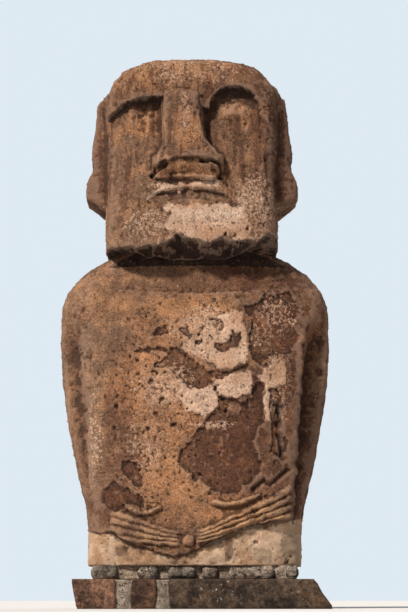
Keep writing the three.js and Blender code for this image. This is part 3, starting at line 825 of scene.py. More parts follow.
@dataclass(frozen=True)
class MoaiSkin:
    """The figure's worn skin, as rings of points from the underside to the crown."""

    torso_height: float = 3.10
    head_height: float = 2.00
    half_shoulder: float = 1.35
    half_face: float = 0.855
    head_shift: float = -0.035
    jaw_sag: float = 0.050
    # at the right corner, then at the left
    jaw_lift: tuple[float, float] = (0.030, 0.090)
    jaw_droop: float = 0.07
    carving: Carving = Carving()
    noise: StoneNoise = StoneNoise(41)
    crown_left: Outline = (
        (4.48, 1.60), (4.56, 1.20), (4.63, 0.97), (4.68, 0.84), (4.80, 0.80), (4.90, 0.72),
        (4.97, 0.56), (5.10, 0.50),
    )
    crown_right: Outline = (
        (4.48, 1.60), (4.60, 1.20), (4.72, 0.86), (4.78, 0.83), (4.81, 0.74), (4.90, 0.69), (4.95, 0.62),
        (4.99, 0.50), (5.10, 0.47),
    )
    rings: int = 620
    front_columns: int = 140
    side_columns: int = 34
    back_columns: int = 60
    crown_rings: int = 14
    smallest_ring: float = 0.004
    crown_dome: float = 0.006
    profile_steps: int = 8000
    lump_height: float = 0.012
    small_lump_height: float = 0.009
    runnel_depth: float = 0.011
    flake_depth: float = 0.020
    pale_rise: float = 0.008
    flank_pit_depth: float = 0.014
    flank_lump_height: float = 0.008
    pit_depth: float = 0.012
    small_pit_depth: float = 0.007
    crumb_height: float = 0.007
    chest_pit_depth: float = 0.018
    chest_small_pit_depth: float = 0.012
    chest_crumb_height: float = 0.006
    jaw_pit_depth: float = 0.024
    gouge_depth: float = 0.030

    def columns_of_rows(self) -> list[list[float]]:
        """The section rows in metres, read down instead of across.

        Returns:
            Each number of the rows as a list from bottom to top.
        """
        rows = []
        for level, width, front, back, square, droop in TORSO_ROWS:
            unit = self.half_shoulder
            height = level * self.torso_height
            rows.append((height, width * unit, front * unit, back * unit, square, droop * unit, 0.0))
        for level, width, front, back, square, droop in HEAD_ROWS:
            unit = self.half_face
            height = self.torso_height + level * self.head_height
            rows.append(
                (height, width * unit, front * unit, back * unit, square, droop * unit, self.head_shift)
            )
        return [list(column) for column in zip(*rows)]

    def levels(self, columns: list[list[float]]) -> Array:
        """Ring positions among the rows, evenly spaced along the figure's profile.

        Args:
            columns: The rows' numbers.

        Returns:
            One position for each ring, counted in rows.
        """
        fine = np.linspace(0.0, len(columns[0]) - 1.0, self.profile_steps)
        height, width, front = (monotone_curve(columns[k], fine) for k in range(3))
        run = np.sqrt(np.diff(height) ** 2 + np.diff(width) ** 2 + np.diff(front) ** 2)
        length = np.concatenate([[0.0], np.cumsum(run)])
        return np.interp(np.linspace(0.0, length[-1], self.rings), length, fine)

    def turns(self) -> Array:
        """Column positions round a section.

        Returns:
            Quarter turns: 0 at the front, 1 at +X, 2 at the back, 3 at -X.
        """
        front = np.linspace(0.0, 0.5, self.front_columns, endpoint=False)
        side = np.linspace(0.5, 1.5, 2 * self.side_columns, endpoint=False)
        back = np.linspace(1.5, 2.0, self.back_columns, endpoint=False)
        half = np.concatenate([front, side, back])
        return np.concatenate([half, [2.0], 4.0 - half[:0:-1]])

    def plain_section(self, columns: list[list[float]], levels: Array, turns: Array) -> dict[str, Array]:
        """Points and outward directions of the uncarved sections.

        Args:
            columns: The rows' numbers.
            levels: Ring positions.
            turns: Column positions.

        Returns:
            Arrays x, y, height, out_x, out_y and shift.
        """
        read = [monotone_curve(column, levels)[:, None] for column in columns]
        height, half_width, front, back, square, droop, shift = read
        quarter = np.floor(turns).astype(int) % 4
        share = turns - np.floor(turns)
        from_middle = np.where(quarter % 2 == 0, share, 1.0 - share)
        diagonal = 0.5 ** (1.0 / square)
        is_along = from_middle <= 0.5
        near = diagonal * 2.0 * np.where(is_along, from_middle, 1.0 - from_middle)
        far = (1.0 - near**square) ** (1.0 / square)
        u = np.where(is_along, near, far)
        v = np.where(is_along, far, near)
        sign_x = np.where(quarter < 2, 1.0, -1.0)
        is_front = (quarter == 0) | (quarter == 3)
        sign_y = np.where(is_front, -1.0, 1.0)
        depth = np.where(is_front, front, back)
        out_x = sign_x * u ** (square - 1.0) / half_width
        out_y = sign_y * v ** (square - 1.0) / depth
        length = np.hypot(out_x, out_y)
        lift = np.where(sign_x < 0.0, *self.jaw_lift) * smooth(u, 0.45, 0.85)
        jaw = self.jaw_sag * (1.0 - u * u) - lift
        sag = droop * v + jaw * v * (droop / (self.jaw_droop * self.half_face))
        return {
            "x": sign_x * u * half_width,
            "y": sign_y * v * depth,
            "height": height - np.where(is_front, sag, 0.0),
            "out_x": out_x / length,
            "out_y": out_y / length,
            "shift": np.broadcast_to(shift, u.shape),
        }

    def ragged(self, points: Array) -> Array:
        """Small noise that frays rims, the same at every depth."""
        return self.noise.fractal(points * np.array([1.0, 0.0, 1.0]), 0.09, 3, salt=5)

    def carved(self) -> Array:
        """The carved figure before weathering.

        Returns:
            Its rings of points, from the underside to the crown.
        """
        columns = self.columns_of_rows()
        part = self.plain_section(columns, self.levels(columns), self.turns())
        x, y, height = part["x"], part["y"], part["height"]
        ragged = self.ragged(np.stack([x, y, height], axis=-1))
        is_head = (height > self.torso_height - 0.15) & (part["shift"] < self.head_shift / 2.0)
        face = self.carving.face(x, height, ragged)
        torso = self.carving.torso(x, height, self.half_shoulder, ragged)
        facing = smooth(-part["out_y"], 0.25, 0.75)
        rise = facing * np.where(is_head, face, torso)
        ear = self.carving.ear(y, height) * smooth(np.abs(part["out_x"]), 0.6, 0.9)
        rise = rise + np.where(is_head, ear, 0.0)
        points = np.stack(
            [x + part["out_x"] * rise + part["shift"], y + part["out_y"] * rise, height], axis=-1
        )
        return self.with_crown(self.with_broken_sides(points))

    def with_broken_sides(self, rings: Array) -> Array:
        """Cuts the crown's corners back, more on one side than on the other.

        Args:
            rings: The figure's rings of points.

        Returns:
            The same rings, cut back.
        """
        height = rings[..., 2] + 0.03 * self.noise.fractal(rings, 0.12, 3, salt=50)
        height = height + 0.12 * (rings[..., 1] + 0.35)
        rings[..., 0] = np.maximum(rings[..., 0], -along_line(height, self.crown_left))
        rings[..., 0] = np.minimum(rings[..., 0], along_line(height, self.crown_right))
        return rings

    def with_crown(self, rings: Array) -> Array:
        """Closes the crown with rings that shrink to its middle over a low dome.

        Args:
            rings: The figure's rings of points.

        Returns:
            The rings with the crown's own on top.
        """
        rim = rings[-1]
        middle = rim.mean(axis=0)
        caps = []
        for share in np.linspace(1.0, 0.0, self.crown_rings + 1)[1:]:
            ring = middle + (rim - middle) * max(share, self.smallest_ring)
            ring[:, 2] += self.crown_dome * (1.0 - share**2)
            caps.append(ring)
        return np.concatenate([rings, np.array(caps)])

    @staticmethod
    def outward(rings: Array) -> Array:
        """Unit normals of the ring grid.

        Args:
            rings: Rings of points.

        Returns:
            One outward direction for each point.
        """
        around = np.roll(rings, -1, axis=1) - np.roll(rings, 1, axis=1)
        upward = np.gradient(rings, axis=0)
        normal = np.cross(around, upward)
        return normal / np.maximum(np.linalg.norm(normal, axis=-1, keepdims=True), 1e-12)

    def weathered(self) -> Array:
        """The carved figure with its lumps, flaked skin, runnels, pits and cracks.

        Returns:
            Its rings of points, from the underside to the crown.
        """
        rings = self.carved()
        height = rings[..., 2]
        fields = WeatherFields(self.noise)
        bare, pale = fields.bare(rings), fields.pale(rings)
        runnels = self.noise.fractal(rings * np.array([1.0, 1.0, 0.14]), 0.075, 3, salt=60)
        depth = self.lump_height * self.noise.fractal(rings, 0.42, 3, salt=1)
        depth += self.small_lump_height * self.noise.fractal(rings, 0.10, 3, salt=2)
        depth += self.runnel_depth * runnels * smooth(height, 3.0, 3.3)
        depth -= self.flake_depth * smooth(bare, -0.006, 0.010)
        depth += self.pale_rise * smooth(pale, -0.006, 0.008)
        warped = rings + 0.02 * self.noise.fractal(rings, 0.05, 2, salt=7)[..., None]
        sides = smooth(np.abs(rings[..., 0]), 0.80, 1.05) * smooth(height, 0.4, 0.7)
        depth -= self.flank_pit_depth * sides * self.noise.pits(rings, 0.16, 0.30, salt=11)
        depth += self.flank_lump_height * sides * self.noise.fractal(rings, 0.14, 3, salt=12)
        chest = within(height, 0.9, 2.2, 0.3) * within(rings[..., 0], -0.75, 0.25, 0.15)
        pitted = self.pit_depth + self.chest_pit_depth * chest
        depth -= pitted * self.noise.pits(warped, 0.085, 0.28, salt=3)
        pitted = self.small_pit_depth + self.chest_small_pit_depth * chest
        depth -= pitted * self.noise.pits(warped, 0.045, 0.30, salt=8)
        crumbly = self.crumb_height + self.chest_crumb_height * chest
        depth += crumbly * self.noise.fractal(rings, 0.032, 2, salt=4)
        jaw = within(height, 3.14, 3.42, 0.08) * within(rings[..., 0], 0.12, 0.70, 0.12)
        depth -= self.jaw_pit_depth * jaw * self.noise.pits(warped, 0.060, 0.35, salt=13)
        torn = rings + 0.05 * self.noise.fractal(rings, 0.09, 3, salt=14)[..., None]
        near = np.minimum.reduce([stroke_distance(torn[..., 0], torn[..., 2], line) for line in GOUGES])
        depth -= self.gouge_depth * (1.0 - smooth(near, 0.004, 0.038)) * on_front(rings)
        depth = depth * smooth(height, 0.0, 0.03)
        weathered = rings + self.outward(rings) * depth[..., None]
        weathered[0, :, 2] = 0.0
        return weathered


@dataclass(frozen=True)
class WeatherFields:
    """Numbers that say how worn, pale or stained each place of the figure is, and where shade is painted."""

    noise: StoneNoise
    reach: float = 0.15
    fray: float = 0.042
    small_fray: float = 0.022

    def frayed(self, points: Array, outlines: tuple[Outline, ...]) -> Array:
        """Depth inside the nearest of some outlines, with a frayed rim.

        Args:
            points: Places on the figure.
            outlines: The outlines, drawn on the front.

        Returns:
            The depth in metres, negative outside and off the front.
        """
        x, height = points[..., 0], points[..., 2]
        depth = np.maximum.reduce([patch_depth(x, height, outline) for outline in outlines])
        flat = points * np.array([1.0, 0.0, 1.0])
        fray = self.fray * self.noise.fractal(flat, 0.13, 4, salt=70)
        fray += self.small_fray * self.noise.fractal(flat, 0.045, 3, salt=74)
        is_front = on_front(points)
        return (np.clip(depth, -self.reach, self.reach) + fray) * is_front - self.reach * (1.0 - is_front)

    def scattered(self, points: Array, salt: int, cover: float) -> Array:
        """Patches of the same kind, strewn over the sides and the back.

        Args:
            points: Places on the figure.
            salt: Picks another pattern.
            cover: What the noise has to reach; the higher, the fewer patches.

        Returns:
            The depth inside a patch, negative outside and on the front.
        """
        field = self.noise.fractal(points, 0.55, 5, salt=salt) - cover
        is_back = smooth(points[..., 1], -0.30, 0.05)
        return 0.25 * field * is_back - self.reach * (1.0 - is_back)

    def bare(self, points: Array) -> Array:
        """Depth inside the bare rock where the skin has flaked off."""
        return np.maximum(self.frayed(points, BARE_PATCHES), self.scattered(points, 80, 0.22))

    def pale(self, points: Array) -> Array:
        """Depth inside the pale, smooth skin."""
        return np.maximum(self.frayed(points, PALE_PATCHES), self.scattered(points, 90, 0.34))

    def blackened(self, points: Array, below_chin: Array, facing_down: Array) -> Array:
        """Depth of the painted shade under the chin's broken rim and on what faces down.

        Args:
            points: Places on the figure.
            below_chin: Depth under the chin's broken rim.
            facing_down: 1 where the surface faces down.

        Returns:
            The depth in metres, negative where no shade is painted.
        """
        # painted shade under the chin's broken rim
        rim = np.minimum(below_chin, self.reach) + 0.022 + 0.02 * self.noise.fractal(points, 0.05, 3, salt=77)
        is_rim = (points[..., 2] > 2.95) & (points[..., 1] < -0.35)
        is_nose = within(points[..., 2], 3.45, 4.20, 0.10)
        # painted shade on all stone that faces down, except round the nose
        under = 0.10 * facing_down * smooth(points[..., 2], 2.8, 2.9) * (1.0 - is_nose) - 0.05
        return np.maximum(np.where(is_rim, rim, -self.reach), under)

    @staticmethod
    def blotches(points: Array, blotches: tuple[Blotch, ...]) -> Array:
        """The strongest of some soft ovals, on the front.

        Args:
            points: Places on the figure.
            blotches: The ovals.

        Returns:
            The strength from 0 to 1.
        """
        x, height = points[..., 0], points[..., 2]
        weight = np.maximum.reduce([blotch.weight(x, height) for blotch in blotches])
        return weight * smooth(-points[..., 1], -0.05, 0.25)


# --- mesh helpers
def new_piece(name: str, points: Array, faces: list[tuple[int, ...]] | Array) -> Piece:
    """A smooth-shaded mesh object at the origin.

    Args:
        name: The piece's name.
        points: Its corners, one row each.
        faces: Corner numbers of each face, outward by the right-hand rule.

    Returns:
        The new object, linked into the scene.
    """
    mesh = bpy.data.meshes.new(name)
    mesh.from_pydata(points.tolist(), [], faces if isinstance(faces, list) else faces.tolist())
    mesh.polygons.foreach_set("use_smooth", [True] * len(mesh.polygons))
    mesh.update()
    piece = bpy.data.objects.new(name, mesh)
    bpy.context.scene.collection.objects.link(piece)
    return piece


def settle_modifiers(piece: Piece) -> None:
    """Turns a piece's modifiers into its plain mesh.

    Args:
        piece: The object, which keeps its name and loses its modifiers.
    """
    graph = bpy.context.evaluated_depsgraph_get()
    baked = bpy.data.meshes.new_from_object(piece.evaluated_get(graph))
    piece.modifiers.clear()
    piece.data = baked


def thin_out(piece: Piece, triangles: int) -> None:
    """Collapses the plainest parts of a mesh.

    Args:
        piece: The object to thin out.
        triangles: How many triangles to leave.
    """
    count = sum(len(face.vertices) - 2 for face in piece.data.polygons)
    modifier = piece.modifiers.new("thin", "DECIMATE")
    modifier.ratio = min(1.0, triangles / count)
    settle_modifiers(piece)
    piece.data.polygons.foreach_set("use_smooth", [True] * len(piece.data.polygons))


def corner_array(mesh: Mesh) -> Array:
    """A mesh's corners.

    Args:
        mesh: The mesh to read.

    Returns:
        One row for each corner.
    """
    flat = np.empty(len(mesh.vertices) * 3)
    mesh.vertices.foreach_get("co", flat)
    return flat.reshape(-1, 3)


def write_field(mesh: Mesh, mark: Mark, values: Array) -> None:
    """Stores one number for each corner, for a material to read."""
    layer = mesh.attributes.new(mark.value, "FLOAT", "POINT")
    layer.data.foreach_set("value", values.astype(np.float32))


def write_hollows(mesh: Mesh, passes: int, depth: float) -> None:
    """Stores how hollow each corner lies, from -1 on a ridge to 1 in a groove.

    Args:
        mesh: The mesh to judge.
        passes: How far around each corner to look, in rounds of smoothing.
        depth: The depth of a full hollow.
    """
    points = corner_array(mesh)
    pairs = np.empty(len(mesh.edges) * 2, dtype=np.int64)
    mesh.edges.foreach_get("vertices", pairs)
    first, second = pairs.reshape(-1, 2).T
    count = len(points)
    neighbours = np.bincount(first, minlength=count) + np.bincount(second, minlength=count)
    smoothed = points.copy()
    for _ in range(passes):
        total = np.stack(
            [
                np.bincount(first, smoothed[second, k], count)
                + np.bincount(second, smoothed[first, k], count)
                for k in range(3)
            ],
            axis=-1,
        )
        smoothed = 0.5 * smoothed + 0.5 * total / np.maximum(neighbours, 1)[:, None]
    normals = np.empty(count * 3)
    mesh.vertices.foreach_get("normal", normals)
    lift = np.sum((smoothed - points) * normals.reshape(-1, 3), axis=1)
    write_field(mesh, Mark.HOLLOW, np.clip(lift / depth, -1.0, 1.0))


def box_shell(cells: tuple[int, int, int]) -> tuple[Array, list[tuple[int, ...]]]:
    """A closed box from -1 to 1 on each axis, its faces cut into cells.

    Args:
        cells: How many cells along X, Y and Z.

    Returns:
        Corners and faces, facing outwards.
    """
    corners: dict[tuple[int, ...], int] = {}
    faces: list[tuple[int, ...]] = []

    def corner(*place: int) -> int:
        """The number of the corner at that place of the grid."""
        return corners.setdefault(place, len(corners))

    for axis in range(3):
        across, up = (axis + 1) % 3, (axis + 2) % 3
        for end in (0, cells[axis]):
            for i in range(cells[across]):
                for j in range(cells[up]):
                    quad = []
                    for di, dj in ((0, 0), (1, 0), (1, 1), (0, 1)):
                        place = [0, 0, 0]
                        place[axis] = end
                        place[across] = i + di
                        place[up] = j + dj
                        quad.append(corner(*place))
                    faces.append(tuple(quad if end else quad[::-1]))
    points = np.array(list(corners), dtype=float)
    return 2.0 * points / np.array(cells, dtype=float) - 1.0, faces


# --- node helpers
# Places of a colour Mix node's sockets, which share their names with those for other types.
MIX_SHARE, MIX_FIRST, MIX_SECOND, MIX_RESULT = 0, 6, 7, 2


@dataclass(frozen=True)
class Graph:
    """Short hand for building a shader or geometry tree."""

    tree: Tree

    def add(self, kind: str, settings: dict | None = None, **inputs: object) -> Node:
        """Adds a node.

        Args:
            kind: The node's type.
            settings: Its own properties.
            inputs: Values or sockets, by the input's name in lower case with underscores.

        Returns:
            The new node.
        """
        node = self.tree.nodes.new(kind)
        for key, value in (settings or {}).items():
            setattr(node, key, value)
        named = {}
        for socket in node.inputs:
            key = socket.name.lower().replace(" ", "_")
            if socket.enabled:
                named.setdefault(key, socket)
        for key, value in inputs.items():
            self.set(named[key], value)
        return node

    def set(self, socket: Socket, value: object) -> None:
        """Links a socket, or gives it a plain value.

        Args:
            socket: The socket to feed.
            value: Another socket, a number or a colour.
        """
        if isinstance(value, Socket):
            self.tree.links.new(value, socket)
        elif isinstance(value, tuple) and len(value) == 3 and socket.type == "RGBA":
            socket.default_value = (*value, 1.0)
        else:
            socket.default_value = value

    def maths(self, operation: str, first: object, second: object = 0.0) -> Socket:
        """One sum on two numbers.

        Args:
            operation: The kind of sum.
            first: A number or a socket.
            second: A number or a socket.

        Returns:
            The result.
        """
        node = self.tree.nodes.new("ShaderNodeMath")
        node.operation = operation
        self.set(node.inputs[0], first)
        self.set(node.inputs[1], second)
        return node.outputs[0]

    def blend(self, share: object, first: object, second: object, mode: str = "MIX") -> Socket:
        """Mixes two colours.

        Args:
            share: How much of the second, from 0 to 1.
            first: A colour or a socket.
            second: A colour or a socket.
            mode: How they are mixed.

        Returns:
            The mixed colour.
        """
        node = self.tree.nodes.new("ShaderNodeMix")
        node.data_type = "RGBA"
        node.blend_type = mode
        self.set(node.inputs[MIX_SHARE], share)
        self.set(node.inputs[MIX_FIRST], first)
        self.set(node.inputs[MIX_SECOND], second)
        return node.outputs[MIX_RESULT]

    def times(self, first: object, second: object) -> Socket:
        """The product of two numbers."""
        return self.maths("MULTIPLY", first, second)

    def plus(self, first: object, second: object) -> Socket:
        """The sum of two numbers."""
        return self.maths("ADD", first, second)

    def cover(self, under: object, over: object, mask: object, strength: float) -> Socket:
        """Lays one colour over another where a mask is, as thickly as the strength says."""
        return self.blend(self.times(mask, strength), under, over)

    def shaded(self, colour: object, shade: object) -> Socket:
        """A colour made lighter or darker by a number."""
        tint = self.add("ShaderNodeCombineColor", red=shade, green=shade, blue=shade)
        return self.blend(1.0, colour, tint.outputs[0], "MULTIPLY")

    def step(self, value: object, low: float, high: float, to: Point = (0.0, 1.0)) -> Socket:
        """Eased step of a number from low to high."""
        node = self.add(
            "ShaderNodeMapRange", {"interpolation_type": "SMOOTHSTEP"},
            value=value, from_min=low, from_max=high, to_min=to[0], to_max=to[1],
        )
        return node.outputs[0]

    def centred(self, value: object, strength: float) -> Socket:
        """Moves a number from 0 to 1 to lie round nought, with the given spread."""
        return self.times(self.maths("SUBTRACT", value, 0.5), strength)

    def field(self, mark: Mark) -> Socket:
        """Reads a number stored on the mesh."""
        return self.add("ShaderNodeAttribute", {"attribute_name": mark.value}).outputs["Fac"]

    def edge(self, mark: Mark, fray: object) -> Socket:
        """A crisp ragged mask where a stored depth, frayed, rises past nought."""
        return self.step(self.plus(self.field(mark), fray), -0.004, 0.010)

    def place(self) -> Socket:
        """Object coordinates, in metres."""
        return self.add("ShaderNodeTexCoord").outputs["Object"]

    def stretched(self, vector: object, scale: tuple[float, float, float]) -> Socket:
        """Coordinates drawn out along an axis."""
        return self.add("ShaderNodeMapping", vector=vector, scale=scale).outputs[0]

    def noise(self, vector: object, scale: float, detail: float, roughness: float = 0.55) -> Socket:
        """Fractal noise from 0 to 1."""
        node = self.add(
            "ShaderNodeTexNoise", vector=vector, scale=scale, detail=detail, roughness=roughness
        )
        return node.outputs[0]

    def cells(self, vector: object, scale: float) -> Socket:
        """Distance to the nearest of scattered points."""
        return self.add("ShaderNodeTexVoronoi", vector=vector, scale=scale).outputs["Distance"]

    def group(self, tree: Tree, **inputs: object) -> Node:
        """Places a shared group with its own values.

        Args:
            tree: The group.
            inputs: Values or sockets, named as in add.

        Returns:
            The node that holds the group.
        """
        node = self.tree.nodes.new("ShaderNodeGroup")
        node.node_tree = tree
        for socket in node.inputs:
            key = socket.name.lower().replace(" ", "_")
            if key in inputs:
                self.set(socket, inputs[key])
        return node


def group_tree(name: str, takes: dict[str, float], gives: tuple[str, ...]) -> tuple[Graph, dict, object]:
    """Starts a shared shader group.

    Args:
        name: The group's name.
        takes: Input numbers and their usual values.
        gives: Output names.

    Returns:
        The graph, the input sockets by name, and the output node.
    """
    tree = bpy.data.node_groups.new(name, "ShaderNodeTree")
    for key, value in takes.items():
        socket = tree.interface.new_socket(key, in_out="INPUT", socket_type="NodeSocketFloat")
        socket.default_value = value
    for key in gives:
        tree.interface.new_socket(key, in_out="OUTPUT", socket_type="NodeSocketFloat")
    graph = Graph(tree)
    entry = tree.nodes.new("NodeGroupInput")
    leave = tree.nodes.new("NodeGroupOutput")
    return graph, {key: entry.outputs[key] for key in takes}, leave


@dataclass
class SharedEffects:
    """Shader groups that more than one finish uses."""

    grain: Tree
    pores: Tree
    dirt: Tree
    lichen: Tree

    @classmethod
    def build(cls) -> "SharedEffects":
        """Builds each group once."""
        return cls(cls.make_grain(), cls.make_pores(), cls.make_dirt(), cls.make_lichen())

    @staticmethod
    def make_grain() -> Tree:
        """Coarse and fine grit.

        Returns:
            A group with a height for the bump and a mottle for the colour.
        """
        graph, takes, leave = group_tree("stone_grain", {"Scale": 60.0}, ("Height", "Mottle"))
        place = graph.place()
        coarse = graph.noise(place, 10.0, 5.0, 0.6)
        fine = graph.noise(place, 60.0, 4.0, 0.7)
        graph.set(fine.node.inputs["Scale"], takes["Scale"])
        specks = graph.cells(place, 90.0)
        graph.set(specks.node.inputs["Scale"], graph.times(takes["Scale"], 1.7))
        height = graph.plus(graph.times(fine, 0.6), graph.times(specks, 0.35))
        height = graph.plus(height, graph.times(coarse, 0.5))
        mottle = graph.plus(graph.times(fine, 0.6), graph.times(coarse, 0.4))
        graph.set(leave.inputs["Height"], height)
        graph.set(leave.inputs["Mottle"], graph.step(mottle, 0.32, 0.68))
        return graph.tree

    @staticmethod
    def make_pores() -> Tree:
        """Small round holes, thick in some places and thin in others.

        Returns:
            A group with a mask of the holes.
        """
        graph, takes, leave = group_tree("open_pores", {"Scale": 28.0, "Amount": 0.5}, ("Mask",))
        place = graph.place()
        wander = graph.add("ShaderNodeTexNoise", vector=place, scale=30.0, detail=2.0).outputs["Color"]
        shift = graph.add("ShaderNodeVectorMath", {"operation": "SCALE"}, vector=wander, scale=0.05)
        bent = graph.add("ShaderNodeVectorMath", {"operation": "ADD"}).outputs[0]
        graph.set(bent.node.inputs[0], place)
        graph.set(bent.node.inputs[1], shift.outputs[0])
        holes = graph.cells(bent, 28.0)
        graph.set(holes.node.inputs["Scale"], takes["Scale"])
        crowd = graph.noise(place, 2.6, 3.0)
        limit = graph.times(graph.step(crowd, 0.42, 0.68), takes["Amount"])
        deep = graph.maths("SUBTRACT", graph.times(limit, 0.5), holes)
        graph.set(leave.inputs["Mask"], graph.step(deep, 0.0, 0.12))
        return graph.tree

    @staticmethod
    def make_dirt() -> Tree:
        """Dirt and painted shade in hollows, and ridges lightened by wear and a painted highlight.

        Returns:
            A group with a mask of each.
        """
        graph, takes, leave = group_tree("dirt_and_wear", {"Strength": 1.0}, ("Dirt", "Wear"))
        hollow = graph.field(Mark.HOLLOW)
        broken = graph.noise(graph.place(), 22.0, 4.0, 0.6)
        shaken = graph.plus(hollow, graph.centred(broken, 0.5))
        dirt = graph.times(graph.step(shaken, 0.12, 0.75), takes["Strength"])
        wear = graph.times(graph.step(shaken, -0.2, -0.85), takes["Strength"])
        graph.set(leave.inputs["Dirt"], dirt)
        graph.set(leave.inputs["Wear"], wear)
        return graph.tree

    @staticmethod
    def make_lichen() -> Tree:
        """Pale ragged crusts in loose colonies.

        Returns:
            A group with a mask of the crusts.
        """
        graph, takes, leave = group_tree("lichen_crusts", {"Scale": 16.0, "Amount": 0.5}, ("Mask",))
        place = graph.place()
        crusts = graph.noise(place, 16.0, 6.0, 0.8)
        graph.set(crusts.node.inputs["Scale"], takes["Scale"])
        colony = graph.step(graph.noise(place, 3.2, 3.0), 0.52, 0.66)
        spread = graph.plus(crusts, graph.times(takes["Amount"], 0.12))
        graph.set(leave.inputs["Mask"], graph.times(graph.step(spread, 0.66, 0.70), colony))
        return graph.tree


def new_material(name: str) -> tuple[Material, Graph, Node]:
    """Starts a material.

    Args:
        name: The material's name.

    Returns:
        The material, its graph and its shader.
    """
    material = bpy.data.materials.new(name)
    material.use_nodes = True
    graph = Graph(material.node_tree)
    return material, graph, material.node_tree.nodes["Principled BSDF"]


@dataclass
class TuffPattern:
    """What the layers of the tuff share: the place, two noises, and two ways to fray an edge."""

    graph: Graph
    place: Socket
    broad: Socket
    middling: Socket
    fray: Socket
    torn: Socket

    @classmethod
    def build(cls, graph: Graph) -> "TuffPattern":
        """Builds the shared nodes once.

        Args:
            graph: The material's graph.

        Returns:
            The pattern.
        """
        place = graph.place()
        return cls(
            graph=graph,
            place=place,
            broad=graph.noise(place, 1.7, 5.0, 0.6),
            middling=graph.noise(place, 6.0, 6.0, 0.68),
            fray=graph.centred(graph.noise(place, 45.0, 4.0, 0.7), 0.06),
            torn=graph.centred(graph.noise(place, 20.0, 6.0, 0.72), 0.16),
        )


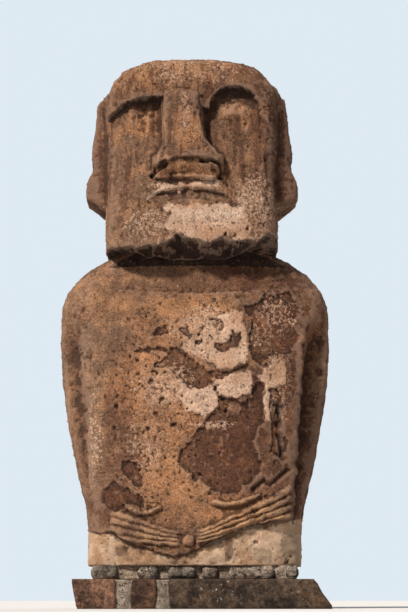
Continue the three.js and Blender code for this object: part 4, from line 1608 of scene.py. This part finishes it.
@dataclass(frozen=True)
class TuffFinish:
    """Worn volcanic tuff: an ochre and grey skin, flaked to dark rock and pale in places."""

    skin: Colour = (0.285, 0.152, 0.084)
    skin_dark: Colour = (0.165, 0.086, 0.052)
    ochre: Colour = (0.465, 0.222, 0.104)
    grey: Colour = (0.245, 0.146, 0.090)
    umber: Colour = (0.110, 0.046, 0.027)
    bare: Colour = (0.138, 0.064, 0.036)
    pale: Colour = (0.60, 0.400, 0.285)
    pale_dull: Colour = (0.42, 0.235, 0.140)
    white: Colour = (0.80, 0.63, 0.50)
    band: Colour = (0.48, 0.335, 0.230)
    mortar: Colour = (0.31, 0.220, 0.145)
    finger_highlight: Colour = (0.50, 0.295, 0.150)
    rust: Colour = (0.245, 0.098, 0.040)
    soot_and_shade: Colour = (0.088, 0.050, 0.036)
    painted_shade_black: Colour = (0.032, 0.018, 0.014)
    band_dull: Colour = (0.31, 0.185, 0.105)
    dirt: Colour = (0.045, 0.024, 0.018)
    lichen: Colour = (0.62, 0.50, 0.37)
    roughness: float = 0.95

    def old_skin(self, pattern: TuffPattern) -> Socket:
        """The old skin: ochre, grey, umber and painted shade, with fingers lightened as a painted highlight.

        Args:
            pattern: What the layers share.

        Returns:
            The skin's colour.
        """
        graph, broad, middling = pattern.graph, pattern.broad, pattern.middling
        streaks = graph.noise(graph.stretched(pattern.place, (16.0, 16.0, 1.6)), 1.0, 4.0, 0.65)
        skin = graph.blend(graph.step(broad, 0.38, 0.66), self.skin_dark, self.skin)
        skin = graph.cover(skin, self.grey, graph.field(Mark.GREY), 0.8)
        ochre = graph.times(graph.field(Mark.OCHRE), graph.step(broad, 0.25, 0.60, (0.45, 1.0)))
        skin = graph.blend(ochre, skin, self.ochre)
        skin = graph.blend(graph.step(middling, 0.50, 0.66, (0.0, 0.45)), skin, self.ochre)
        skin = graph.blend(graph.step(middling, 0.50, 0.34, (0.0, 0.55)), skin, self.skin_dark)
        streaky = graph.times(graph.step(streaks, 0.46, 0.62), graph.field(Mark.STREAKED))
        skin = graph.cover(skin, self.umber, streaky, 0.8)
        # umber mottle, and the blotches of painted shade
        skin = graph.cover(skin, self.umber, graph.field(Mark.UMBER), 0.9)
        # painted highlight on the raised fingers
        worn = graph.times(graph.field(Mark.FINGERED), graph.step(middling, 0.40, 0.60))
        return graph.cover(skin, self.finger_highlight, worn, 0.6)

    def patched(self, pattern: TuffPattern, skin: Socket) -> tuple[Socket, Socket]:
        """Lays the band, pale skin, bare rock, flecks, soot, painted shade and mends over the old skin.

        Args:
            pattern: What the layers share.
            skin: The old skin's colour.

        Returns:
            The patched colour, and a number that is 1 where the stone is smooth.
        """
        graph, place, fray = pattern.graph, pattern.place, pattern.fray
        is_band = graph.edge(Mark.BAND, fray)
        stains = graph.step(graph.noise(place, 4.0, 5.0, 0.65), 0.42, 0.60)
        band = graph.blend(stains, self.band_dull, self.band)
        skin = graph.cover(skin, band, is_band, 0.9)
        is_pale = graph.edge(Mark.PALE, pattern.torn)
        pale = graph.blend(graph.step(pattern.broad, 0.38, 0.60), self.pale_dull, self.pale)
        chalky = graph.times(graph.field(Mark.STREAKED), graph.step(graph.field(Mark.PALE), 0.02, 0.12))
        pale = graph.blend(chalky, pale, self.white)
        skin = graph.cover(skin, pale, is_pale, 0.9)
        is_bare = graph.edge(Mark.BARE, fray)
        bare = graph.blend(graph.field(Mark.UMBER), self.bare, self.umber)
        bare = graph.blend(graph.step(pattern.middling, 0.54, 0.66, (0.0, 0.5)), bare, self.rust)
        skin = graph.cover(skin, bare, is_bare, 0.92)
        flecks = graph.step(graph.noise(place, 30.0, 5.0, 0.75), 0.36, 0.64)
        left = graph.maths("SUBTRACT", graph.plus(flecks, graph.field(Mark.FLECKED)), 1.0)
        skin = graph.cover(skin, pale, graph.step(left, 0.0, 0.12), 0.8)
        # soot stains, and painted shade under the arched brow
        skin = graph.cover(skin, self.soot_and_shade, graph.edge(Mark.SOOTED, fray), 0.7)
        # painted shade, near black, under the chin's rim and on stone that faces down
        skin = graph.cover(skin, self.painted_shade_black, graph.edge(Mark.BLACKENED, fray), 0.92)
        is_mended = graph.edge(Mark.MORTARED, fray)
        skin = graph.blend(is_mended, skin, self.mortar)
        is_smooth = graph.maths("MAXIMUM", is_band, is_mended)
        return skin, graph.maths("MAXIMUM", is_smooth, graph.times(is_pale, 0.45))

    def build(self, effects: SharedEffects) -> Material:
        """Builds the material from the figure's marks and the shared effects.

        Args:
            effects: The shared groups.

        Returns:
            The finished material.
        """
        material, graph, shader = new_material("weathered_tuff")
        pattern = TuffPattern.build(graph)
        place = pattern.place
        skin, is_smooth = self.patched(pattern, self.old_skin(pattern))
        grain = graph.group(effects.grain, scale=70.0)
        contrast = graph.step(is_smooth, 0.0, 1.0, (1.0, 0.35))
        crumbs = graph.noise(place, 52.0, 6.0, 0.85)
        shade = graph.times(graph.centred(grain.outputs["Mottle"], 0.55), contrast)
        speckle = graph.times(graph.centred(graph.step(crumbs, 0.36, 0.64), 1.1), contrast)
        shade = graph.plus(graph.plus(shade, speckle), graph.centred(pattern.middling, 0.9))
        skin = graph.shaded(skin, graph.plus(shade, 1.16))
        pores = graph.group(effects.pores, scale=24.0, amount=0.9).outputs["Mask"]
        pores = graph.times(pores, graph.maths("SUBTRACT", 1.0, is_smooth))
        pores = graph.times(pores, graph.step(graph.noise(place, 3.4, 3.0), 0.42, 0.58))
        skin = graph.cover(skin, self.dirt, pores, 0.8)
        spots = graph.group(effects.lichen, scale=34.0, amount=0.6).outputs["Mask"]
        skin = graph.cover(skin, self.lichen, spots, 0.5)
        # dirt and painted shade in the hollows, wear and a painted highlight on the ridges
        hollows_and_ridges = graph.group(effects.dirt, strength=1.0)
        skin = graph.cover(skin, self.dirt, hollows_and_ridges.outputs["Dirt"], 0.7)
        skin = graph.cover(skin, self.pale, hollows_and_ridges.outputs["Wear"], 0.25)
        graph.set(shader.inputs["Base Color"], skin)
        shader.inputs["Roughness"].default_value = self.roughness
        shader.inputs["Specular IOR Level"].default_value = 0.15
        relief = graph.plus(grain.outputs["Height"], graph.times(crumbs, 0.9))
        relief = graph.times(relief, contrast)
        relief = graph.maths("SUBTRACT", relief, graph.times(pores, 1.2))
        bump = graph.add("ShaderNodeBump", strength=1.0, distance=0.035, height=relief)
        graph.set(shader.inputs["Normal"], bump.outputs[0])
        return material


@dataclass(frozen=True)
class StoneFinish:
    """A field stone: two tones, open pores, lichen, dirt and painted shade in hollows, painted light on
    ridges.
    """

    name: str
    light: Colour
    dark: Colour
    stain: Colour
    lichen_amount: float = 0.5
    pore_amount: float = 0.8
    contrast: float = 0.8
    roughness: float = 0.92
    dirt: Colour = (0.030, 0.024, 0.022)
    lichen: Colour = (0.55, 0.51, 0.44)

    def build(self, effects: SharedEffects) -> Material:
        """Builds the material.

        Args:
            effects: The shared groups.

        Returns:
            The finished material.
        """
        material, graph, shader = new_material(self.name)
        place = graph.place()
        grain = graph.group(effects.grain, scale=80.0)
        broad = graph.noise(place, 5.0, 5.0, 0.6)
        body = graph.blend(graph.step(broad, 0.35, 0.65), self.dark, self.light)
        patch = graph.step(graph.noise(place, 2.3, 4.0), 0.52, 0.66)
        body = graph.cover(body, self.stain, patch, 0.7)
        coarse = graph.noise(place, 22.0, 6.0, 0.78)
        shade = graph.plus(graph.centred(grain.outputs["Mottle"], 0.7), 1.0)
        shade = graph.plus(shade, graph.centred(graph.step(coarse, 0.34, 0.66), self.contrast))
        body = graph.shaded(graph.shaded(body, shade), graph.field(Mark.TONE))
        pores = graph.group(effects.pores, scale=45.0, amount=self.pore_amount).outputs["Mask"]
        body = graph.cover(body, self.dirt, pores, 0.8)
        spots = graph.group(effects.lichen, scale=26.0, amount=self.lichen_amount).outputs["Mask"]
        body = graph.cover(body, self.lichen, spots, 0.85)
        # dirt and painted shade in the hollows, wear and a painted highlight on the ridges
        hollows_and_ridges = graph.group(effects.dirt, strength=1.0)
        body = graph.cover(body, self.dirt, hollows_and_ridges.outputs["Dirt"], 0.7)
        body = graph.cover(body, self.light, hollows_and_ridges.outputs["Wear"], 0.3)
        graph.set(shader.inputs["Base Color"], body)
        shader.inputs["Roughness"].default_value = self.roughness
        shader.inputs["Specular IOR Level"].default_value = 0.25
        relief = graph.maths("SUBTRACT", grain.outputs["Height"], pores)
        bump = graph.add("ShaderNodeBump", strength=0.9, distance=0.018, height=relief)
        graph.set(shader.inputs["Normal"], bump.outputs[0])
        return material


FINISHES = {
    "basalt": StoneFinish(
        "grey_basalt", (0.098, 0.064, 0.041), (0.030, 0.019, 0.013), (0.110, 0.062, 0.032), contrast=1.3
    ),
    "red_scoria": StoneFinish(
        "red_scoria", (0.170, 0.086, 0.050), (0.060, 0.030, 0.020), (0.26, 0.150, 0.090),
        lichen_amount=0.3, contrast=1.3,
    ),
    "packing_stone": StoneFinish(
        "packing_basalt", (0.225, 0.178, 0.140), (0.060, 0.047, 0.038), (0.12, 0.080, 0.055),
        lichen_amount=0.9, contrast=1.7,
    ),
    "mortar": StoneFinish(
        "lime_mortar", (0.325, 0.260, 0.205), (0.19, 0.145, 0.110), (0.24, 0.165, 0.110),
        lichen_amount=0.2, pore_amount=0.4, contrast=0.97,
    ),
}


# --- grit, laid by geometry nodes
@dataclass(frozen=True)
class GritScatter:
    """Small angular grains half sunk in a surface."""

    name: str
    density: float
    size: float
    spread: float
    seed: int

    @staticmethod
    def build_tree() -> Tree:
        """The scattering tree.

        Returns:
            A geometry tree with named inputs for what varies.
        """
        tree = bpy.data.node_groups.new("scatter_grit", "GeometryNodeTree")
        face = tree.interface
        face.new_socket("Geometry", in_out="INPUT", socket_type="NodeSocketGeometry")
        for key, kind in (
            ("Density", "NodeSocketFloat"), ("Size", "NodeSocketFloat"),
            ("Spread", "NodeSocketFloat"), ("Seed", "NodeSocketInt"), ("Finish", "NodeSocketMaterial"),
        ):
            face.new_socket(key, in_out="INPUT", socket_type=kind)
        face.new_socket("Geometry", in_out="OUTPUT", socket_type="NodeSocketGeometry")
        graph = Graph(tree)
        entry = tree.nodes.new("NodeGroupInput")
        leave = tree.nodes.new("NodeGroupOutput")
        scatter = graph.add(
            "GeometryNodeDistributePointsOnFaces", {"distribute_method": "RANDOM"},
            mesh=entry.outputs["Geometry"], density=entry.outputs["Density"], seed=entry.outputs["Seed"],
        )
        grain = graph.add("GeometryNodeMeshIcoSphere", radius=1.0, subdivisions=1)
        smallest = graph.maths("DIVIDE", entry.outputs["Size"], entry.outputs["Spread"])
        largest = graph.times(entry.outputs["Size"], entry.outputs["Spread"])
        sizes = graph.tree.nodes.new("FunctionNodeRandomValue")
        sizes.data_type = "FLOAT_VECTOR"
        for socket, source in ((sizes.inputs[0], smallest), (sizes.inputs[1], largest)):
            tree.links.new(source, socket)
        tree.links.new(entry.outputs["Seed"], sizes.inputs["Seed"])
        place = graph.add(
            "GeometryNodeInstanceOnPoints", points=scatter.outputs["Points"],
            instance=grain.outputs["Mesh"], rotation=scatter.outputs["Rotation"],
            scale=sizes.outputs[0],
        )
        whole = graph.add("GeometryNodeRealizeInstances", geometry=place.outputs[0])
        dressed = graph.add(
            "GeometryNodeSetMaterial", geometry=whole.outputs[0], material=entry.outputs["Finish"]
        )
        tree.links.new(dressed.outputs[0], leave.inputs["Geometry"])
        return tree

    def lay(self, tree: Tree, on: Piece, finish: Material) -> Piece:
        """Lays the grains on a piece.

        Args:
            tree: The scattering tree.
            on: The piece whose surface takes the grains.
            finish: The grains' material.

        Returns:
            The grains, as one plain mesh.
        """
        piece = bpy.data.objects.new(self.name, on.data.copy())
        bpy.context.scene.collection.objects.link(piece)
        modifier = piece.modifiers.new("grit", "NODES")
        modifier.node_group = tree
        values = {
            "Density": self.density, "Size": self.size, "Spread": self.spread,
            "Seed": self.seed, "Finish": finish,
        }
        for item in tree.interface.items_tree:
            if item.in_out == "INPUT" and item.name in values:
                modifier[item.identifier] = values[item.name]
        settle_modifiers(piece)
        write_field(piece.data, Mark.TONE, np.ones(len(piece.data.vertices)))
        return piece


# --- the pieces
@dataclass
class Figure:
    """The carved figure itself."""

    node: str = "statue"
    triangles: int = 190_000
    skin: MoaiSkin = MoaiSkin()

    def build(self, finish: Material) -> Piece:
        """Makes the worn figure and puts it in the place of its solid.

        Args:
            finish: The tuff.

        Returns:
            The finished piece.
        """
        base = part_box(self.node)[0][2]
        rings = self.skin.weathered()
        count, around = rings.shape[:2]
        points = rings.reshape(-1, 3) + np.array([0.0, 0.0, base])
        piece = new_piece("moai_figure", points, self.faces(count, around))
        thin_out(piece, self.triangles)
        self.write_fields(piece.data, base)
        piece.data.materials.clear()
        piece.data.materials.append(finish)
        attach(piece, "root")
        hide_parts(self.node)
        return piece

    @staticmethod
    def faces(count: int, around: int) -> list[tuple[int, ...]]:
        """Quads between rings, with the first ring closed below and the last above.

        Args:
            count: How many rings.
            around: How many points in a ring.

        Returns:
            Corner numbers of each face.
        """
        i, j = np.meshgrid(np.arange(count - 1), np.arange(around), indexing="ij")
        low = i * around + j
        low_next = i * around + (j + 1) % around
        quads = np.stack([low, low_next, low_next + around, low + around], axis=-1).reshape(-1, 4)
        last = (count - 1) * around
        foot = tuple(range(around - 1, -1, -1))
        crown = tuple(range(last, last + around))
        return [*map(tuple, quads.tolist()), foot, crown]

    def write_fields(self, mesh: Mesh, base: float) -> None:
        """Stores the weathering and the painted shade on the mesh for the tuff to read.

        Args:
            mesh: The figure's mesh.
            base: Height of the figure's underside.
        """
        points = corner_array(mesh) - np.array([0.0, 0.0, base])
        x, height = points[:, 0], points[:, 2]
        normals = np.empty(3 * len(points))
        mesh.vertices.foreach_get("normal", normals)
        facing_down = smooth(-normals[2::3], 0.35, 0.75)
        carving = self.skin.carving
        ragged = self.skin.ragged(points)
        below_chin = carving.below_chin(x, height, ragged)
        is_hand = smooth(carving.hands(x, height, ragged), 0.012, 0.022) * on_front(points)
        fields = WeatherFields(self.skin.noise)
        stored = {
            Mark.BARE: fields.bare(points),
            Mark.PALE: fields.pale(points),
            Mark.MORTARED: fields.frayed(points, MORTARED_PATCHES),
            Mark.OCHRE: fields.blotches(points, OCHRE_BLOTCHES),
            Mark.UMBER: fields.blotches(points, UMBER_AND_SHADE_BLOTCHES),
            Mark.GREY: fields.blotches(points, GREY_BLOTCHES),
            Mark.FLECKED: fields.blotches(points, FLECKED_BLOTCHES),
            Mark.FINGERED: is_hand,
            Mark.STREAKED: smooth(height, 3.2, 3.7),
            Mark.SOOTED: fields.frayed(points, SOOT_AND_SHADE_PATCHES),
            Mark.BLACKENED: fields.blackened(points, below_chin, facing_down),
            Mark.BAND: -carving.above_skirt(x, height, ragged),
        }
        for mark, values in stored.items():
            write_field(mesh, mark, values)
        write_hollows(mesh, passes=14, depth=0.010)


# How light each stone or bed is beside its finish; the middle front block is darker as painted shade.
TONES = {
    "pedestal_front_left": 1.2,
    # painted shade on this block
    "pedestal_front_middle": 0.56,
    "pedestal_front_long": 0.78,
    "pedestal_back_middle": 0.8,
    "pedestal_left": 1.2,
    "packing_front_1": 0.6,
    "packing_front_3": 0.8,
    "packing_front_4": 1.1,
    "packing_front_5": 1.7,
    "packing_side_2": 0.7,
    "packing_back_3": 0.75,
    "pedestal_mortar": 0.80,
    "packing_mortar": 1.25,
}
# A corner of a box shell lies on one of its faces past this share of the half size.
AT_FACE = 0.999


@dataclass
class Course:
    """A course of stones in mortar."""

    noise: StoneNoise = StoneNoise(7)
    cell: float = 0.012
    corner: float = 0.035
    rough: float = 0.024
    inset: float = 0.010
    wedge: float = 0.01
    lump: float = 0.16
    cell_range: tuple[int, int] = (10, 130)
    mortar_cell: float = 0.016
    mortar_cell_range: tuple[int, int] = (8, 150)
    mortar_rough: float = 0.014
    mortar_lump: float = 0.11
    mortar_inset: float = 0.0

    def stone(
        self, node: str, slot: str, finish: Material, lean: float = 0.0, undercut: float = 0.0
    ) -> Piece:
        """Makes one rough stone in the place of its solid.

        Args:
            node: The solid's name.
            slot: The record's material slot; not used.
            finish: The stone's material.
            lean: How far the foot of the +X end runs out past its top.
            undercut: How far the foot of the -X end is set back behind its top.

        Returns:
            The finished piece.
        """
        low, high = (np.array(corner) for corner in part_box(node))
        high = high - np.array([lean, 0.0, 0.0])
        half, middle = (high - low) / 2.0, (high + low) / 2.0
        cells = tuple(int(np.clip(2.0 * size / self.cell, *self.cell_range)) for size in half)
        points, faces = box_shell(cells)
        is_bed = np.abs(points[:, 2]) > AT_FACE
        block = points * half
        core = np.clip(block, self.corner - half, half - self.corner)
        off = block - core
        far = np.linalg.norm(off, axis=1, keepdims=True)
        shaped = core + off * np.minimum(1.0, self.corner / far)
        shaped[:, 2] = np.where(is_bed, block[:, 2], shaped[:, 2])
        upward = shaped[:, 2] / half[2]
        slant = np.random.default_rng(sum(node.encode())).uniform(-self.wedge, self.wedge, 2)
        shaped[:, :2] *= 1.0 - np.abs(slant) + slant * upward[:, None]
        placed = shaped + middle
        outward = off / far
        size = min(self.lump, 1.3 * half[2])
        depth = self.rough * self.noise.fractal(placed, size, 4, salt=len(node))
        depth -= self.inset
        depth -= 0.5 * self.rough * self.noise.pits(placed, 0.4 * size, 0.35, salt=2)
        outward[:, 2] *= smooth(np.abs(upward), 1.0, 0.9)
        placed = placed + outward * depth[:, None]
        foot = (high[2] - placed[:, 2]) / (high[2] - low[2])
        aside = (placed[:, 0] - middle[0]) / half[0]
        placed[:, 0] += foot * (lean * np.clip(aside, 0.0, 1.0) + undercut * np.clip(-aside, 0.0, 1.0))
        piece = new_piece(f"{node}_stone", placed, faces)
        return self.dress(piece, node, slot, finish)

    def mortar(self, node: str, finish: Material) -> Piece:
        """Makes a rough mortar bed in the place of its solid.

        Args:
            node: The solid's name.
            finish: The mortar's material.

        Returns:
            The finished piece.
        """
        low, high = (np.array(corner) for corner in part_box(node))
        half, middle = (high - low) / 2.0, (high + low) / 2.0
        half = half - self.mortar_inset * np.array([1.0, 1.0, 0.0])
        cells = tuple(
            int(np.clip(2.0 * size / self.mortar_cell, *self.mortar_cell_range)) for size in half
        )
        points, faces = box_shell(cells)
        placed = points * half + middle
        is_side = np.abs(points[:, :2]) > AT_FACE
        outward = np.concatenate([np.sign(points[:, :2]) * is_side, np.zeros((len(points), 1))], axis=1)
        depth = self.mortar_rough * self.noise.fractal(placed, self.mortar_lump, 4, salt=9)
        placed = placed + outward * depth[:, None]
        piece = new_piece(f"{node}_bed", placed, faces)
        return self.dress(piece, node, "mortar", finish)

    @staticmethod
    def dress(piece: Piece, node: str, slot: str, finish: Material) -> Piece:
        """Gives a piece its finish, its own tone and its place in the frame.

        Args:
            piece: The piece to dress.
            node: The solid that it replaces.
            slot: The record's material slot; not used.
            finish: The piece's material.

        Returns:
            The same piece.
        """
        write_hollows(piece.data, passes=8, depth=0.008)
        write_field(piece.data, Mark.TONE, np.full(len(piece.data.vertices), TONES.get(node, 1.0)))
        piece.data.materials.append(finish)
        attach(piece, "root")
        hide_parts(node)
        return piece


@dataclass
class Pedestal(Course):
    """The low masonry course that carries everything."""

    long_stone_lean: float = 0.185
    right_block_lean: float = 0.14
    left_undercut: float = 0.055

    def build(self, finishes: dict[str, Material]) -> list[Piece]:
        """Makes the pedestal's stones and mortar.

        Args:
            finishes: The materials by slot.

        Returns:
            One piece for each solid.
        """
        scoria = {
            "pedestal_front_left", "pedestal_front_middle", "pedestal_right", "pedestal_back_middle",
        }
        pieces = []
        for node in sorted(name for name in FRAME_NODES if name.startswith("pedestal_")):
            if node == "pedestal_mortar":
                pieces.append(self.mortar(node, finishes["mortar"]))
                continue
            slot = "red_scoria" if node in scoria else "basalt"
            lean = self.long_stone_lean if node == "pedestal_front_long" else 0.0
            if node in ("pedestal_right", "pedestal_back_right"):
                lean = self.right_block_lean
            undercut = self.left_undercut if node == "pedestal_front_left" else 0.0
            pieces.append(self.stone(node, slot, finishes[slot], lean, undercut))
        return pieces


@dataclass
class PackingCourse(Course):
    """Cobbles and mortar packed between pedestal and figure."""

    cell: float = 0.008
    corner: float = 0.050
    rough: float = 0.015
    inset: float = 0.0
    wedge: float = 0.06
    mortar_inset: float = 0.02

    def build(self, finishes: dict[str, Material]) -> list[Piece]:
        """Makes the packing stones and their mortar.

        Args:
            finishes: The materials by slot.

        Returns:
            One piece for each solid.
        """
        pieces = []
        for node in sorted(name for name in FRAME_NODES if name.startswith("packing_")):
            if node == "packing_mortar":
                pieces.append(self.mortar(node, finishes["mortar"]))
                continue
            pieces.append(self.stone(node, "packing_stone", finishes["packing_stone"]))
        return pieces


# --- the studio
@dataclass(frozen=True)
class Sun:
    """A distant soft light that shines from its source to the origin."""

    name: str
    source: tuple[float, float, float]
    strength: float
    angle: float
    tint: Colour

    def hang(self) -> None:
        """Adds the light to the scene."""
        lamp = bpy.data.lights.new(self.name, "SUN")
        lamp.energy = self.strength
        lamp.angle = math.radians(self.angle)
        lamp.color = self.tint
        light = bpy.data.objects.new(self.name, lamp)
        light.rotation_euler = Vector(self.source).to_track_quat("Z", "Y").to_euler()
        bpy.context.scene.collection.objects.link(light)


@dataclass
class Studio:
    """Floor, backdrop, light and camera."""

    # a soft key from the upper left and a weak fill from behind
    suns: tuple[Sun, ...] = (
        Sun("key", (-1.0, -1.25, 1.55), strength=5.6, angle=7.0, tint=(1.0, 0.945, 0.88)),
        Sun("fill", (0.6, 1.0, 0.9), strength=0.8, angle=40.0, tint=(0.90, 0.95, 1.0)),
    )
    surround: Colour = (0.80, 0.84, 0.90)
    surround_strength: float = 0.26
    eye: tuple[float, float, float] = (0.09, -18.0, 0.10)
    pitch: float = 9.2458
    lens: float = 105.6
    sensor_width: float = 36.0
    backdrop_radius: float = 60.0
    sky: Colour = (0.735, 0.820, 0.885)
    floor: Colour = (0.62, 0.60, 0.58)

    def build(self) -> None:
        """Makes everything that isn't part of the object."""
        self.make_floor()
        self.make_backdrop()
        self.make_lights()
        self.make_camera()

    def make_floor(self) -> None:
        """A plain pale floor."""
        sides = 96
        angle = np.linspace(0.0, 2.0 * math.pi, sides, endpoint=False)
        radius = 0.9 * self.backdrop_radius
        points = np.stack([radius * np.cos(angle), radius * np.sin(angle), 0.0 * angle], axis=1)
        floor = new_piece("studio_floor", points, [tuple(range(sides))])
        material, graph, shader = new_material("studio_floor")
        tone = graph.noise(graph.place(), 0.8, 4.0)
        darker = tuple(0.94 * value for value in self.floor)
        graph.set(shader.inputs["Base Color"], graph.blend(tone, darker, self.floor))
        shader.inputs["Roughness"].default_value = 0.9
        floor.data.materials.append(material)

    def make_backdrop(self) -> None:
        """A plain pale blue shell all round, seen by the camera alone."""
        sides, rings = 64, 32
        turn = np.linspace(0.0, 2.0 * math.pi, sides, endpoint=False)
        tilt = np.linspace(-0.5 * math.pi, 0.5 * math.pi, rings + 1)[1:-1]
        circle = np.stack([np.cos(turn), np.sin(turn), np.zeros(sides)], axis=1)
        points = np.concatenate(
            [circle * math.cos(t) + np.array([0.0, 0.0, math.sin(t)]) for t in tilt]
        )
        faces = []
        for low in range(0, (len(tilt) - 1) * sides, sides):
            for j in range(sides):
                after = (j + 1) % sides
                faces.append((low + j, low + sides + j, low + sides + after, low + after))
        dome = new_piece("studio_backdrop", points * self.backdrop_radius, faces)
        material, _, shader = new_material("studio_backdrop")
        shader.inputs["Base Color"].default_value = (0.0, 0.0, 0.0, 1.0)
        shader.inputs["Specular IOR Level"].default_value = 0.0
        shader.inputs["Emission Color"].default_value = (*self.sky, 1.0)
        shader.inputs["Emission Strength"].default_value = 1.0
        dome.data.materials.append(material)
        for ray in ("diffuse", "glossy", "transmission", "volume_scatter", "shadow"):
            setattr(dome, f"visible_{ray}", False)

    def make_lights(self) -> None:
        """The suns, and an even pale surround."""
        for sun in self.suns:
            sun.hang()
        world = bpy.data.worlds.new("studio")
        world.use_nodes = True
        surround = world.node_tree.nodes["Background"]
        surround.inputs["Color"].default_value = (*self.surround, 1.0)
        surround.inputs["Strength"].default_value = self.surround_strength
        bpy.context.scene.world = world

    def make_camera(self) -> None:
        """A long lens close to the ground, looking a little up."""
        camera = bpy.data.cameras.new("camera")
        camera.lens = self.lens
        camera.sensor_width = self.sensor_width
        camera.clip_end = 4.0 * self.backdrop_radius
        holder = bpy.data.objects.new("camera", camera)
        holder.location = self.eye
        holder.rotation_euler = (math.radians(90.0 + self.pitch), 0.0, 0.0)
        bpy.context.scene.collection.objects.link(holder)
        bpy.context.scene.camera = holder


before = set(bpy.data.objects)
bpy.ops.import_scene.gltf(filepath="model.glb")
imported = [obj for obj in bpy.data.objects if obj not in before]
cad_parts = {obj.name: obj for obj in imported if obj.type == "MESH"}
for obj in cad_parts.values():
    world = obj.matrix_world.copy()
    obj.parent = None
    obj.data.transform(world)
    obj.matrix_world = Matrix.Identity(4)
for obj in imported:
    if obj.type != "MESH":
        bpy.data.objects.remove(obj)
FRAME_NODES = tuple(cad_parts)

LAPILLI = GritScatter("moai_lapilli", density=90.0, size=0.0062, spread=1.6, seed=3)
PEDESTAL_GRIT = GritScatter("pedestal_grit", density=260.0, size=0.0080, spread=1.5, seed=5)
PACKING_GRIT = GritScatter("packing_grit", density=420.0, size=0.0075, spread=1.5, seed=8)


def lay_grit(pieces: list[Piece], finishes: dict[str, Material]) -> list[Piece]:
    """Lays loose grains on the figure and in the mortar.

    Args:
        pieces: The finished pieces, to be looked up by name.
        finishes: The materials by slot.

    Returns:
        The grains, one piece for each surface.
    """
    tree = GritScatter.build_tree()
    by_name = {piece.name: piece for piece in pieces}
    laid = []
    for scatter, surface, slot in (
        (LAPILLI, "moai_figure", "packing_stone"),
        (PEDESTAL_GRIT, "pedestal_mortar_bed", "basalt"),
        (PACKING_GRIT, "packing_mortar_bed", "packing_stone"),
    ):
        grains = scatter.lay(tree, by_name[surface], finishes[slot])
        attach(grains, "root")
        laid.append(grains)
    return laid


def main() -> None:
    """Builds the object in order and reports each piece."""
    logging.basicConfig(level=logging.INFO, format="%(name)s: %(message)s", stream=sys.stdout)
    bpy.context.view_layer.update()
    bpy.context.scene.view_settings.view_transform = "Standard"
    effects = SharedEffects.build()
    finishes = {slot: finish.build(effects) for slot, finish in FINISHES.items()}
    pieces = Pedestal().build(finishes)
    pieces += PackingCourse().build(finishes)
    figure = Figure().build(TuffFinish().build(effects))
    pieces.append(figure)
    pieces += lay_grit(pieces, finishes)
    Studio().build()
    for piece in pieces:
        log.info("%s: %d faces", piece.name, len(piece.data.polygons))


if __name__ == "__main__":
    main()
